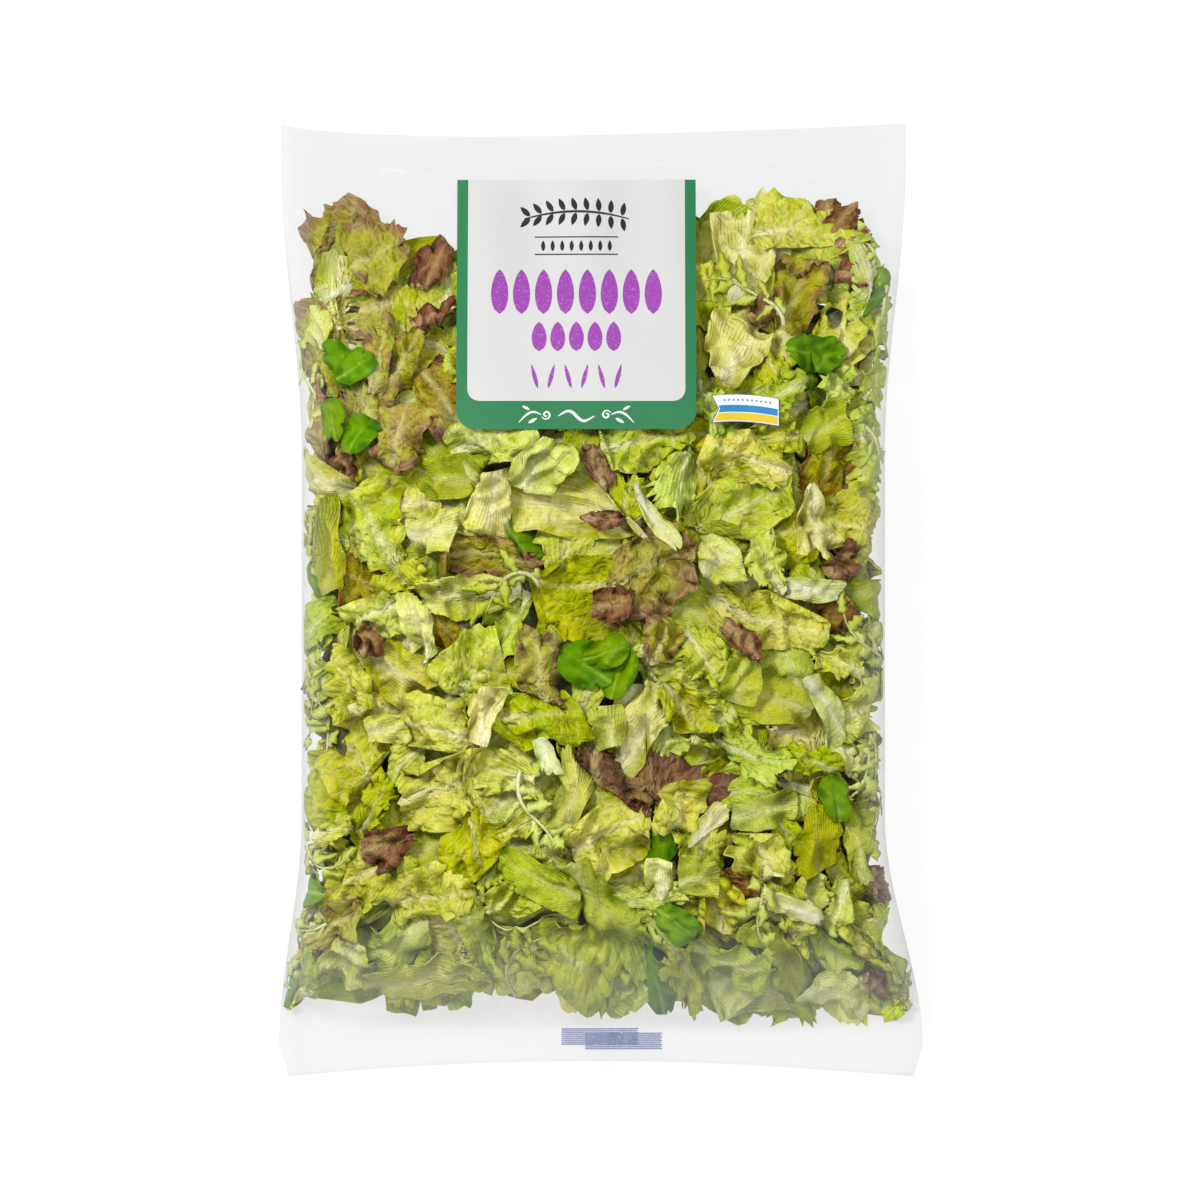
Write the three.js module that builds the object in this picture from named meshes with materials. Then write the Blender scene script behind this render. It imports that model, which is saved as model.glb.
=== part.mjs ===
// A sealed clear bag of mixed salad leaves, lying on its back with its printed label up.
//
// Units are millimetres. +X is to the reader's right, +Y is towards the top seal and +Z is up.
// The origin is the middle of the bag's footprint, on the surface that it lies on.
// The film is drawn as one closed pillow: a tube of film flattened and welded across both ends.
// Its skin is worked out from u, which runs from -1 to 1 across the bag, and y, along it.
import * as THREE from "three";

// The pillow
const BAG_LENGTH = 401;
const TOP_HALF_WIDTH = 131.5; // the flat film at the top seal
const BOTTOM_HALF_WIDTH = 135.5; // the flat film at the bottom seal
const WAIST_HALF_WIDTH = 122.5; // the filled tube, which is narrower than the flat film
const TOP_FLARE = { from: 62, to: 184 }; // where the waist widens to the top seal, in y
const BOTTOM_FLARE = { from: -92, to: -188 };
const CORNER_TRIM = 4; // how far the bottom corners draw in over the last of the weld
const LEAN = -3.2; // the upper bag stands this far to the left of the bottom seal
const BODY_TOP = 61; // height of the film over the fullest part
const SIDE_HEIGHT = 27; // height of the bag's widest line
const BELLY_DEPTH = 33; // how far the underside would hang below that line if nothing held it up
const ROUNDNESS = { top: [2.5, 2.1], under: [3.4, 2.0], weld: [36, 2.0] }; // superellipse powers
const FILLING_OUT = 0.25; // how soon the flat weld's section turns into the full one
const UNDER_RELIEF = 0.4; // share of the relief that shows on the underside
const RELIEF_FADE = [4, 1]; // superellipse powers by which relief dies out at the sides

// The welds and the film next to them
const WELD_WIDTH = 14;
const WELD_THICKNESS = 1.2;
const SIDE_EDGE = 0.4; // the film's crease at each side, so that no ring pinches shut
const TOP_WELD_HEIGHT = 8;
const BOTTOM_WELD_HEIGHT = 9;
const WELD_WAVE = { height: 2.4, count: 2.1, top: 0.9, bottom: 2.6 }; // ripples, and their phases
const TOP_EDGE_SAG = { depth: 5.2, power: 0.62 }; // the cut edge curves in, deepest left of centre
const BOTTOM_EDGE_SAG = { depth: 6.5, power: 0.95 };
const TOP_RISE = { length: 132, power: 1.25, corner: 26 }; // half empty film under the top weld
const BOTTOM_RISE = { length: 66, power: 0.95, corner: 16 }; // leaves packed against the bottom weld
// Folds that run in from each weld, with their phases there and their share in the middle plane
const GATHER = { height: 2.3, count: 6.5, reach: 78, top: 0.6, bottom: 2.1, sway: 0.5 };

// Leaves push the film out in low swells about as long as a leaf
const SWELL = { height: 1.2, longest: 74, waves: 5, shorten: 0.14, turn: 2.4 };
const SWELL_UNDER_LABEL = 0.3; // share of the swells that is left where the label stiffens the film
const LABEL_FADE = 12; // width of the band round the label where the swells come back

// The label and the small banner stuck to the film
const LABEL = { x: -10.3, top: 177, bottom: 71.4, width: 100.4, corner: 8 };
const BANNER = { left: 46, right: 74.7, y: 80.8, height: 11.8, notch: 3, arch: 1.2, tilt: -0.05 };
const STICKER_THICKNESS = 0.35;
const STICKER_GAP = 0.6; // clear of the faceted film

// How finely each piece is divided
const BAG_STEPS = { along: 60, across: 42, crowding: 0.55 }; // rings crowd towards the welds
const LABEL_STEPS = { along: 22, across: 14 };
const BANNER_STEPS = { along: 4, across: 12 };

// Colours, and roughness
const SALAD_IN_FILM = { color: 0xb9c25a, roughness: 0.25 };
const LABEL_WHITE = { color: 0xe6e6e4, roughness: 0.4 };
const BANNER_BLUE = { color: 0x3a8dbd, roughness: 0.4 };

const { clamp, lerp } = THREE.MathUtils;

/** 0 to 1 with a soft start and end. */
function ease(t) {
  const s = clamp(t, 0, 1);
  return s * s * (3 - 2 * s);
}

/** How far y lies between two values of y, eased. */
function between(y, { from, to }) {
  return ease((y - from) / (to - from));
}

/** Half of the bag's width at y. */
function halfWidth(y) {
  const flare =
    (TOP_HALF_WIDTH - WAIST_HALF_WIDTH) * between(y, TOP_FLARE) +
    (BOTTOM_HALF_WIDTH - WAIST_HALF_WIDTH) * between(y, BOTTOM_FLARE);
  const weldStart = -BAG_LENGTH / 2 + WELD_WIDTH;
  const trim = (CORNER_TRIM * clamp(weldStart - y, 0, WELD_WIDTH)) / WELD_WIDTH;
  return WAIST_HALF_WIDTH + flare - trim;
}

/** The middle of the bag's width at y. */
function centreX(y) {
  return LEAN * (1 - between(y, BOTTOM_FLARE));
}

/** The two cut edges, which curve in a little between the corners. */
function edgeY(u, { depth, power }) {
  const across = (u + 1) / 2;
  return BAG_LENGTH / 2 - depth * Math.sin(Math.PI * across ** power);
}
const topEdge = (u) => edgeY(u, TOP_EDGE_SAG);
const bottomEdge = (u) => -edgeY(u, BOTTOM_EDGE_SAG);

/** How full the bag is at u and y: 0 in a weld, 1 where the leaves fill it. */
function fullness(u, y) {
  const fromTop = topEdge(u) - WELD_WIDTH - y - TOP_RISE.corner * u ** 4;
  const fromBottom = y - bottomEdge(u) - WELD_WIDTH - BOTTOM_RISE.corner * u ** 4;
  const top = Math.sin((Math.PI / 2) * clamp(fromTop / TOP_RISE.length, 0, 1)) ** TOP_RISE.power;
  const bottom =
    Math.sin((Math.PI / 2) * clamp(fromBottom / BOTTOM_RISE.length, 0, 1)) ** BOTTOM_RISE.power;
  return top * bottom;
}

/** The folds that the welds gather in the film beside them. */
function gathers(u, y) {
  const fold = (distance, phase) => {
    const along = clamp(distance / GATHER.reach, 0, 1);
    return 4 * along * (1 - along) ** 2 * Math.cos(Math.PI * GATHER.count * u + phase);
  };
  const top = fold(topEdge(u) - WELD_WIDTH - y, GATHER.top);
  const bottom = fold(y - bottomEdge(u) - WELD_WIDTH, GATHER.bottom);
  return GATHER.height * (top + bottom);
}

/** Low swells where leaves push the film out, as a sum of waves in scattered directions. */
function swells(x, y) {
  let height = 0;
  for (let i = 0; i < SWELL.waves; i++) {
    const angle = SWELL.turn * i;
    const length = SWELL.longest * (1 - SWELL.shorten) ** i;
    const along = x * Math.cos(angle) + y * Math.sin(angle);
    height += Math.sin((2 * Math.PI * along) / length + i * i);
  }
  const fromSides = Math.abs(x - LABEL.x) - LABEL.width / 2;
  const fromBelow = LABEL.bottom - y;
  const inLabel = ease(1 - fromSides / LABEL_FADE) * ease(1 - fromBelow / LABEL_FADE);
  return SWELL.height * height * lerp(1, SWELL_UNDER_LABEL, inLabel);
}

/** A superellipse's height at u, for powers [p, q]. */
function bulge(u, [p, q]) {
  return Math.max(0, 1 - Math.abs(u) ** p) ** (1 / q);
}

/** The film at u and y: a point on the upper side, or on the under side. */
function filmPoint(u, y, upper) {
  const x = centreX(y) + u * halfWidth(y);
  const full = fullness(u, y);
  const weldHeight = lerp(BOTTOM_WELD_HEIGHT, TOP_WELD_HEIGHT, y / BAG_LENGTH + 0.5);
  const phase = y > 0 ? WELD_WAVE.top : WELD_WAVE.bottom;
  const wave = WELD_WAVE.height * Math.sin(WELD_WAVE.count * Math.PI * u + phase) * (1 - full);
  const folds = gathers(u, y);
  const middle = lerp(weldHeight, SIDE_HEIGHT, full) + wave + GATHER.sway * folds;
  const reach = upper ? BODY_TOP - SIDE_HEIGHT : BELLY_DEPTH;
  const round = upper ? ROUNDNESS.top : ROUNDNESS.under;
  const powers = round.map((p, i) => lerp(ROUNDNESS.weld[i], p, full ** FILLING_OUT));
  const relief = (swells(x, y) * full + folds * (1 - full)) * bulge(u, RELIEF_FADE);
  const depth = lerp(WELD_THICKNESS / 2, reach, full) * bulge(u, powers);
  const z = upper ? middle + depth + relief : middle - depth - UNDER_RELIEF * relief;
  return new THREE.Vector3(x, y, Math.max(0, z));
}

/** A closed body from rings of as many points each, capped across its first and last ring. */
function loft(rings) {
  const around = rings[0].length;
  const positions = rings.flat().flatMap((p) => [p.x, p.y, p.z]);
  const index = [];
  for (let r = 0; r + 1 < rings.length; r++) {
    for (let k = 0; k < around; k++) {
      const a = r * around + k;
      const b = r * around + ((k + 1) % around);
      index.push(a, b, a + around, b, b + around, a + around);
    }
  }
  const last = (rings.length - 1) * around;
  for (let k = 0; k < around / 2 - 1; k++) {
    const [a, b, c, d] = [k, k + 1, around - 1 - k, around - 2 - k];
    index.push(a, c, b, b, c, d);
    index.push(last + a, last + b, last + c, last + b, last + d, last + c);
  }
  const geometry = new THREE.BufferGeometry();
  geometry.setAttribute("position", new THREE.Float32BufferAttribute(positions, 3));
  geometry.setIndex(index);
  geometry.computeVertexNormals();
  return geometry;
}

/** The pillow: rings round the film, closer together towards both sides and both welds. */
function bagGeometry() {
  const { along, across, crowding } = BAG_STEPS;
  const rings = [];
  for (let r = 0; r <= along; r++) {
    const v = r / along;
    const spread = lerp(v, 0.5 - 0.5 * Math.cos(Math.PI * v), crowding);
    const ring = [];
    for (let k = 0; k <= 2 * across + 1; k++) {
      const upper = k <= across;
      const step = upper ? k : 2 * across + 1 - k;
      const u = -Math.cos((Math.PI * step) / across);
      const y = lerp(bottomEdge(u), topEdge(u), spread);
      const point = filmPoint(u, y, upper);
      const onSide = step === 0 || step === across;
      if (onSide) point.z += upper ? SIDE_EDGE / 2 : -SIDE_EDGE / 2;
      ring.push(point);
    }
    rings.push(ring);
  }
  return loft(rings);
}

/** A thin sticker over the film. place(s, t) gives [x, y] for s and t from 0 to 1. */
function stickerGeometry(place, { along, across }) {
  const rings = [];
  for (let r = 0; r <= along; r++) {
    const row = (s, lift) => {
      const [x, y] = place(s, r / along);
      const u = (x - centreX(y)) / halfWidth(y);
      const point = filmPoint(u, y, true);
      return new THREE.Vector3(x, y, point.z + STICKER_GAP + lift);
    };
    const over = [];
    const under = [];
    for (let k = 0; k <= across; k++) {
      over.push(row(k / across, STICKER_THICKNESS));
      under.push(row(1 - k / across, 0));
    }
    rings.push([...over, ...under]);
  }
  return loft(rings);
}

/** The label: square above, with two round corners below. */
function labelPlace(s, t) {
  const { x, top, bottom, width, corner } = LABEL;
  const y = lerp(bottom, top, t);
  const below = clamp(corner - (y - bottom), 0, corner);
  const half = width / 2 - (corner - Math.sqrt(corner ** 2 - below ** 2));
  return [x + lerp(-half, half, s), y];
}

/** The banner: a short ribbon, arched and tilted a little, with a notch cut in its left end. */
function bannerPlace(s, t) {
  const { left, right, y, height, notch, arch, tilt } = BANNER;
  const notched = left + notch * (1 - Math.abs(2 * t - 1));
  const x = lerp(notched, right, s);
  const fromMiddle = (2 * x - left - right) / (right - left);
  return [x, y + height * (t - 0.5) - arch * fromMiddle ** 2 + tilt * (x - left)];
}

/** A named mesh with a material of its own. */
function piece(name, geometry, finish) {
  const material = new THREE.MeshStandardMaterial({ ...finish, metalness: 0 });
  const mesh = new THREE.Mesh(geometry, material);
  mesh.name = name;
  return mesh;
}

const bag = new THREE.Group();
bag.add(
  piece("bag", bagGeometry(), SALAD_IN_FILM),
  piece("label", stickerGeometry(labelPlace, LABEL_STEPS), LABEL_WHITE),
  piece("banner_label", stickerGeometry(bannerPlace, BANNER_STEPS), BANNER_BLUE),
);

// The outline isn't quite even, so the whole is moved to stand over its own middle.
const box = new THREE.Box3().setFromObject(bag);
bag.position.set(-(box.min.x + box.max.x) / 2, -(box.min.y + box.max.y) / 2, -box.min.z);

export default bag;
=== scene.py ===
"""A sealed clear bag of mixed salad leaves, lying on its back with its label up.

The bag is a tube of clear film, filled and welded across both ends. The script rebuilds its
pillow form as film, lays leaves one by one inside it over a dark core, and sticks the label
and a small banner on top. Lengths are millimetres until a mesh is made, which is in metres.
+X is to the reader's right, +Y towards the top weld and +Z up from the surface below.
"""

import logging
import math
from dataclasses import dataclass, field
from enum import Enum
from functools import partial
from typing import Callable, Iterable

import bpy
import numpy as np
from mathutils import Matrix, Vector


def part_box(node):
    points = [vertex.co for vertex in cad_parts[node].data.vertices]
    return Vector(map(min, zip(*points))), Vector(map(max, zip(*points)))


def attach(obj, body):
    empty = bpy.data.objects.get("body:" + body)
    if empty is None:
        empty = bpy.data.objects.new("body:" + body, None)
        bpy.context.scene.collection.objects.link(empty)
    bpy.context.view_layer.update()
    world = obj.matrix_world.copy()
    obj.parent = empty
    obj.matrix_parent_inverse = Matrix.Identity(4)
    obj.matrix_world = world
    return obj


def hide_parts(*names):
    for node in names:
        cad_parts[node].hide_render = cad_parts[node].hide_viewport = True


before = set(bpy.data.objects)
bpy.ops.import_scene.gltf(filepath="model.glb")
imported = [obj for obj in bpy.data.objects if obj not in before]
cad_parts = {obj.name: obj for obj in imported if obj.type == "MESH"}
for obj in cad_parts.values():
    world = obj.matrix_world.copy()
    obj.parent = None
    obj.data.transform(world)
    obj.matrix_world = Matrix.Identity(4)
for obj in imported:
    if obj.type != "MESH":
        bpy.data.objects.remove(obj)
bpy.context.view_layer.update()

log = logging.getLogger("salad_bag")

MM = 0.001
TAU = 2 * math.pi
ROOT = "root"
SEED = 31
WHITE = "ffffff"

Array = np.ndarray


def linear(hex_colour: str) -> tuple[float, float, float, float]:
    """Turns an sRGB hex colour such as "c9d070" into linear RGBA."""
    channels = [int(hex_colour[i : i + 2], 16) / 255 for i in (0, 2, 4)]
    return (*(c / 12.92 if c <= 0.04045 else ((c + 0.055) / 1.055) ** 2.4 for c in channels), 1.0)


def ease(t: Array | float) -> Array:
    """Runs from 0 to 1 with a soft start and end."""
    s = np.clip(t, 0, 1)
    return s * s * (3 - 2 * s)


def between(value: Array, start: float, end: float) -> Array:
    """How far a value lies from start to end, eased."""
    return ease((value - start) / (end - start))


def mix(a: Array | float, b: Array | float, share: Array | float) -> Array:
    """Blends from a to b."""
    return a + (b - a) * share


def unit(vectors: Array) -> Array:
    """Scales vectors to length 1."""
    return vectors / np.maximum(np.linalg.norm(vectors, axis=-1, keepdims=True), 1e-9)


class Ripples:
    """Smooth seeded noise of about unit size: plane waves in scattered directions."""

    def __init__(self, rng: np.random.Generator, wavelength: float, waves: int = 7) -> None:
        """Draws the waves.

        Args:
            rng: the source of chance.
            wavelength: typical distance between crests, in the units of the points.
            waves: how many waves are summed.
        """
        angle = rng.uniform(0, TAU, waves)
        number = TAU / (wavelength * rng.uniform(0.65, 1.4, waves))
        self.along = number * np.cos(angle)
        self.across = number * np.sin(angle)
        self.phase = rng.uniform(0, TAU, waves)
        self.scale = math.sqrt(2 / waves)

    def __call__(self, a: Array, b: Array) -> Array:
        """Height of the noise at points a, b."""
        a, b = np.asarray(a)[..., None], np.asarray(b)[..., None]
        return self.scale * np.sin(a * self.along + b * self.across + self.phase).sum(-1)


# Meshes and nodes


def mesh_object(
    name: str,
    points: Array,
    triangles: Array,
    material: bpy.types.Material,
    attributes: dict[str, Array] | None = None,
    rim: Array | None = None,
) -> bpy.types.Object:
    """Makes a smooth mesh object in metres.

    Args:
        name: the object's name.
        points: corners in millimetres, one row each.
        triangles: three corner numbers in each row.
        material: its finish.
        attributes: values for each corner, a number or a vector, by name.
        rim: a number for each corner; edges whose two ends share one above 0 stay sharp.

    Returns:
        The object, which rides on nothing yet.
    """
    mesh = bpy.data.meshes.new(name)
    mesh.vertices.add(len(points))
    mesh.vertices.foreach_set("co", (np.asarray(points) * MM).astype(np.float32).ravel())
    mesh.loops.add(3 * len(triangles))
    mesh.loops.foreach_set("vertex_index", np.asarray(triangles, np.int32).ravel())
    mesh.polygons.add(len(triangles))
    mesh.polygons.foreach_set("loop_start", np.arange(0, 3 * len(triangles), 3, dtype=np.int32))
    mesh.update(calc_edges=True)
    mesh.shade_smooth()
    for key, values in (attributes or {}).items():
        kind, slot = ("FLOAT", "value") if values.ndim == 1 else ("FLOAT_VECTOR", "vector")
        layer = mesh.attributes.new(key, kind, "POINT")
        layer.data.foreach_set(slot, values.astype(np.float32).ravel())
    if rim is not None:
        ends = np.zeros(2 * len(mesh.edges), np.int32)
        mesh.edges.foreach_get("vertices", ends)
        marks = rim[ends.reshape(-1, 2)]
        sharp = (marks[:, 0] > 0) & (marks[:, 0] == marks[:, 1])
        layer = mesh.attributes.new("sharp_edge", "BOOLEAN", "EDGE")
        layer.data.foreach_set("value", sharp)
    mesh.materials.append(material)
    item = bpy.data.objects.new(name, mesh)
    bpy.context.scene.collection.objects.link(item)
    return item


def grid_triangles(rows: int, columns: int, closed: bool = False) -> Array:
    """Triangles over a grid of points numbered row by row.

    Args:
        rows: points up the grid.
        columns: points across it.
        closed: whether the last column joins the first.

    Returns:
        Three point numbers in each row.
    """
    r, c = np.meshgrid(np.arange(rows - 1), np.arange(columns - (not closed)), indexing="ij")
    here = r * columns + c
    right = r * columns + (c + 1) % columns
    up = np.stack([here, right, right + columns], -1).reshape(-1, 3)
    down = np.stack([here, right + columns, here + columns], -1).reshape(-1, 3)
    return np.concatenate([up, down])


def capped_rings(rows: int, columns: int) -> Array:
    """Triangles over closed rings of points and over a point at each end, numbered last.

    Args:
        rows: how many rings.
        columns: points in each.

    Returns:
        Three point numbers in each row.
    """
    here, last = np.arange(columns), (rows - 1) * columns
    there = np.roll(here, -1)
    first_cap = np.stack([there, here, np.full(columns, rows * columns)], -1)
    last_cap = np.stack([here + last, there + last, np.full(columns, rows * columns + 1)], -1)
    return np.concatenate([grid_triangles(rows, columns, closed=True), first_cap, last_cap])


def new_material(name: str) -> tuple[bpy.types.Material, Callable]:
    """Makes an empty node material, and returns it with what adds nodes to its tree."""
    material = bpy.data.materials.new(name)
    material.use_nodes = True
    material.node_tree.nodes.clear()
    return material, partial(add_node, material.node_tree)


def add_node(
    tree: bpy.types.NodeTree,
    kind: str,
    inputs: dict | None = None,
    output: str = "",
    **settings: object,
) -> bpy.types.NodeSocket | None:
    """Adds one node with its settings and links.

    Args:
        tree: the tree that takes the node.
        kind: the node's class name.
        inputs: for an input's name or number, the output that feeds it or its own value.
        output: the name of the output that is wanted, or nothing for the first one in use.
        settings: the node's other properties.

    Returns:
        That output, or None where the node has none.
    """
    node = tree.nodes.new(kind)
    for key, value in settings.items():
        setattr(node, key, value)
    for key, value in (inputs or {}).items():
        if isinstance(value, bpy.types.NodeSocket):
            tree.links.new(value, node.inputs[key])
        else:
            node.inputs[key].default_value = value
    return node.outputs[output] if output else next((s for s in node.outputs if s.enabled), None)


# The bag's form


@dataclass(frozen=True)
class Flare:
    """Where the tube widens, in y."""

    start: float
    end: float


@dataclass(frozen=True)
class Rise:
    """How the film rises from a weld: over what length, how steeply, and later at the corners."""

    length: float
    power: float
    corner: float


@dataclass(frozen=True)
class EdgeSag:
    """How a cut edge curves in between its corners, and where it does so most."""

    depth: float
    power: float


@dataclass(frozen=True)
class Pillow:
    """The bag's film as a closed pillow, the same one that the CAD solid is drawn from.

    A point on it is given by u, from -1 to 1 across the bag, by y along it and by its side.
    """

    length: float = 401
    top_half_width: float = 131.5
    bottom_half_width: float = 135.5
    waist_half_width: float = 122.5
    top_flare: Flare = Flare(62, 184)
    bottom_flare: Flare = Flare(-92, -188)
    corner_trim: float = 4
    lean: float = -3.2
    body_top: float = 61
    side_height: float = 27
    belly_depth: float = 33
    round_top: tuple[float, float] = (2.5, 2.1)
    round_under: tuple[float, float] = (3.4, 2.0)
    round_weld: tuple[float, float] = (36, 2.0)
    filling_out: float = 0.25
    under_relief: float = 0.4
    relief_fade: tuple[float, float] = (4, 1)
    weld_width: float = 14
    weld_thickness: float = 1.2
    top_weld_height: float = 8
    bottom_weld_height: float = 9
    wave_height: float = 2.4
    wave_count: float = 2.1
    wave_phases: tuple[float, float] = (0.9, 2.6)
    top_sag: EdgeSag = EdgeSag(5.2, 0.62)
    bottom_sag: EdgeSag = EdgeSag(6.5, 0.95)
    top_rise: Rise = Rise(132, 1.25, 26)
    bottom_rise: Rise = Rise(66, 0.95, 16)
    gather_height: float = 2.3
    gather_count: float = 6.5
    gather_reach: float = 78
    gather_phases: tuple[float, float] = (0.6, 2.1)
    gather_sway: float = 0.5
    swell_height: float = 1.2
    swell_longest: float = 74
    swell_waves: int = 5
    swell_shorten: float = 0.14
    swell_turn: float = 2.4
    swell_under_label: float = 0.3
    label_fade: float = 12
    label_x: float = -10.3
    label_half_width: float = 50.2
    label_bottom: float = 71.4
    crinkle: float = 0.3  # fine creases that only the film shows
    crinkle_mm: float = 26

    def half_width(self, y: Array) -> Array:
        """Half of the bag's width at y."""
        top = (self.top_half_width - self.waist_half_width) * between(
            y, self.top_flare.start, self.top_flare.end
        )
        bottom = (self.bottom_half_width - self.waist_half_width) * between(
            y, self.bottom_flare.start, self.bottom_flare.end
        )
        into_weld = -self.length / 2 + self.weld_width - y
        trim = self.corner_trim * np.clip(into_weld, 0, self.weld_width) / self.weld_width
        return self.waist_half_width + top + bottom - trim

    def centre_x(self, y: Array) -> Array:
        """The middle of the bag's width at y."""
        return self.lean * (1 - between(y, self.bottom_flare.start, self.bottom_flare.end))

    def edge(self, u: Array, sag: EdgeSag) -> Array:
        """How far from the middle a cut edge lies at u."""
        return self.length / 2 - sag.depth * np.sin(math.pi * ((u + 1) / 2) ** sag.power)

    def top_edge(self, u: Array) -> Array:
        """The top cut edge's y at u."""
        return self.edge(u, self.top_sag)

    def bottom_edge(self, u: Array) -> Array:
        """The bottom cut edge's y at u."""
        return -self.edge(u, self.bottom_sag)

    def from_welds(self, u: Array, y: Array) -> tuple[Array, Array]:
        """Distances from the inner lines of the top weld and the bottom weld."""
        top = self.top_edge(u) - self.weld_width - y
        bottom = y - self.bottom_edge(u) - self.weld_width
        return top, bottom

    def fullness(self, u: Array, y: Array) -> Array:
        """How full the bag is: 0 in a weld, 1 where the leaves fill it."""
        full = np.ones_like(u * y)
        for away, rise in zip(self.from_welds(u, y), (self.top_rise, self.bottom_rise)):
            climb = np.clip((away - rise.corner * u**4) / rise.length, 0, 1)
            full = full * np.sin(math.pi / 2 * climb) ** rise.power
        return full

    def gathers(self, u: Array, y: Array) -> Array:
        """The folds that run in from the welds."""
        height = np.zeros_like(u * y)
        for away, phase in zip(self.from_welds(u, y), self.gather_phases):
            along = np.clip(away / self.gather_reach, 0, 1)
            wave = np.cos(math.pi * self.gather_count * u + phase)
            height = height + 4 * along * (1 - along) ** 2 * wave
        return self.gather_height * height

    def swells(self, x: Array, y: Array) -> Array:
        """Low swells where leaves push the film out, calmer under the stiff label."""
        height = np.zeros_like(x * y)
        for i in range(self.swell_waves):
            angle = self.swell_turn * i
            length = self.swell_longest * (1 - self.swell_shorten) ** i
            along = x * math.cos(angle) + y * math.sin(angle)
            height = height + np.sin(TAU * along / length + i * i)
        under_label = mix(1, self.swell_under_label, self.in_label(x, y))
        return self.swell_height * height * under_label

    def in_label(self, x: Array, y: Array) -> Array:
        """1 under the stiff label and 0 away from it."""
        from_sides = np.abs(x - self.label_x) - self.label_half_width
        below = self.label_bottom - y
        return ease(1 - from_sides / self.label_fade) * ease(1 - below / self.label_fade)

    def crinkles(self, x: Array, y: Array, full: Array) -> Array:
        """Fine soft creases, which fan out from the welds and cross the body."""
        waves = Ripples(np.random.default_rng(SEED), self.crinkle_mm, 9)
        ridges = 1 - np.abs(waves(x * 1.4, y * 0.6))
        spread = (0.4 + 0.6 * (1 - full)) * (1 - 0.95 * self.in_label(x, y))
        return self.crinkle * ridges * spread

    def bulge(self, u: Array, powers: tuple) -> Array:
        """A superellipse's height at u."""
        p, q = powers
        return np.maximum(0, 1 - np.abs(u) ** p) ** (1 / q)

    def film(self, u: Array, y: Array, upper: bool) -> Array:
        """Points on the film.

        Args:
            u: place across the bag, from -1 to 1.
            y: place along it.
            upper: whether the points lie on the side that is up.

        Returns:
            x, y and z in the last axis.
        """
        u, y = np.broadcast_arrays(np.asarray(u, float), np.asarray(y, float))
        x = self.centre_x(y) + u * self.half_width(y)
        full = self.fullness(u, y)
        weld_height = mix(self.bottom_weld_height, self.top_weld_height, y / self.length + 0.5)
        phase = np.where(y > 0, *self.wave_phases)
        wave = self.wave_height * np.sin(self.wave_count * math.pi * u + phase) * (1 - full)
        folds = self.gathers(u, y)
        middle = mix(weld_height, self.side_height, full) + wave + self.gather_sway * folds
        reach = self.body_top - self.side_height if upper else self.belly_depth
        power_pair = self.round_top if upper else self.round_under
        soft = full**self.filling_out
        powers = tuple(mix(w, p, soft) for w, p in zip(self.round_weld, power_pair))
        relief = self.swells(x, y) * full + folds * (1 - full) + self.crinkles(x, y, full)
        relief = relief * self.bulge(u, self.relief_fade)
        depth = mix(self.weld_thickness / 2, reach, full) * self.bulge(u, powers)
        if upper:
            z = middle + depth + relief
        else:
            z = middle - depth - self.under_relief * relief
        return np.stack([x, y, np.maximum(0, z)], -1)

    def shift(self) -> Array:
        """What moves the form so that it stands over its own middle, as the CAD solid does."""
        low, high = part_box("bag")
        u, v = np.meshgrid(np.linspace(-1, 1, 201), np.linspace(0, 1, 201))
        form = self.film(u, mix(self.bottom_edge(u), self.top_edge(u), v), True).reshape(-1, 3)
        middle = (form.min(0) + form.max(0)) / 2
        cad = (np.array(low) + np.array(high)) / 2 / MM
        return np.array([cad[0] - middle[0], cad[1] - middle[1], 0.0])


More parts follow.
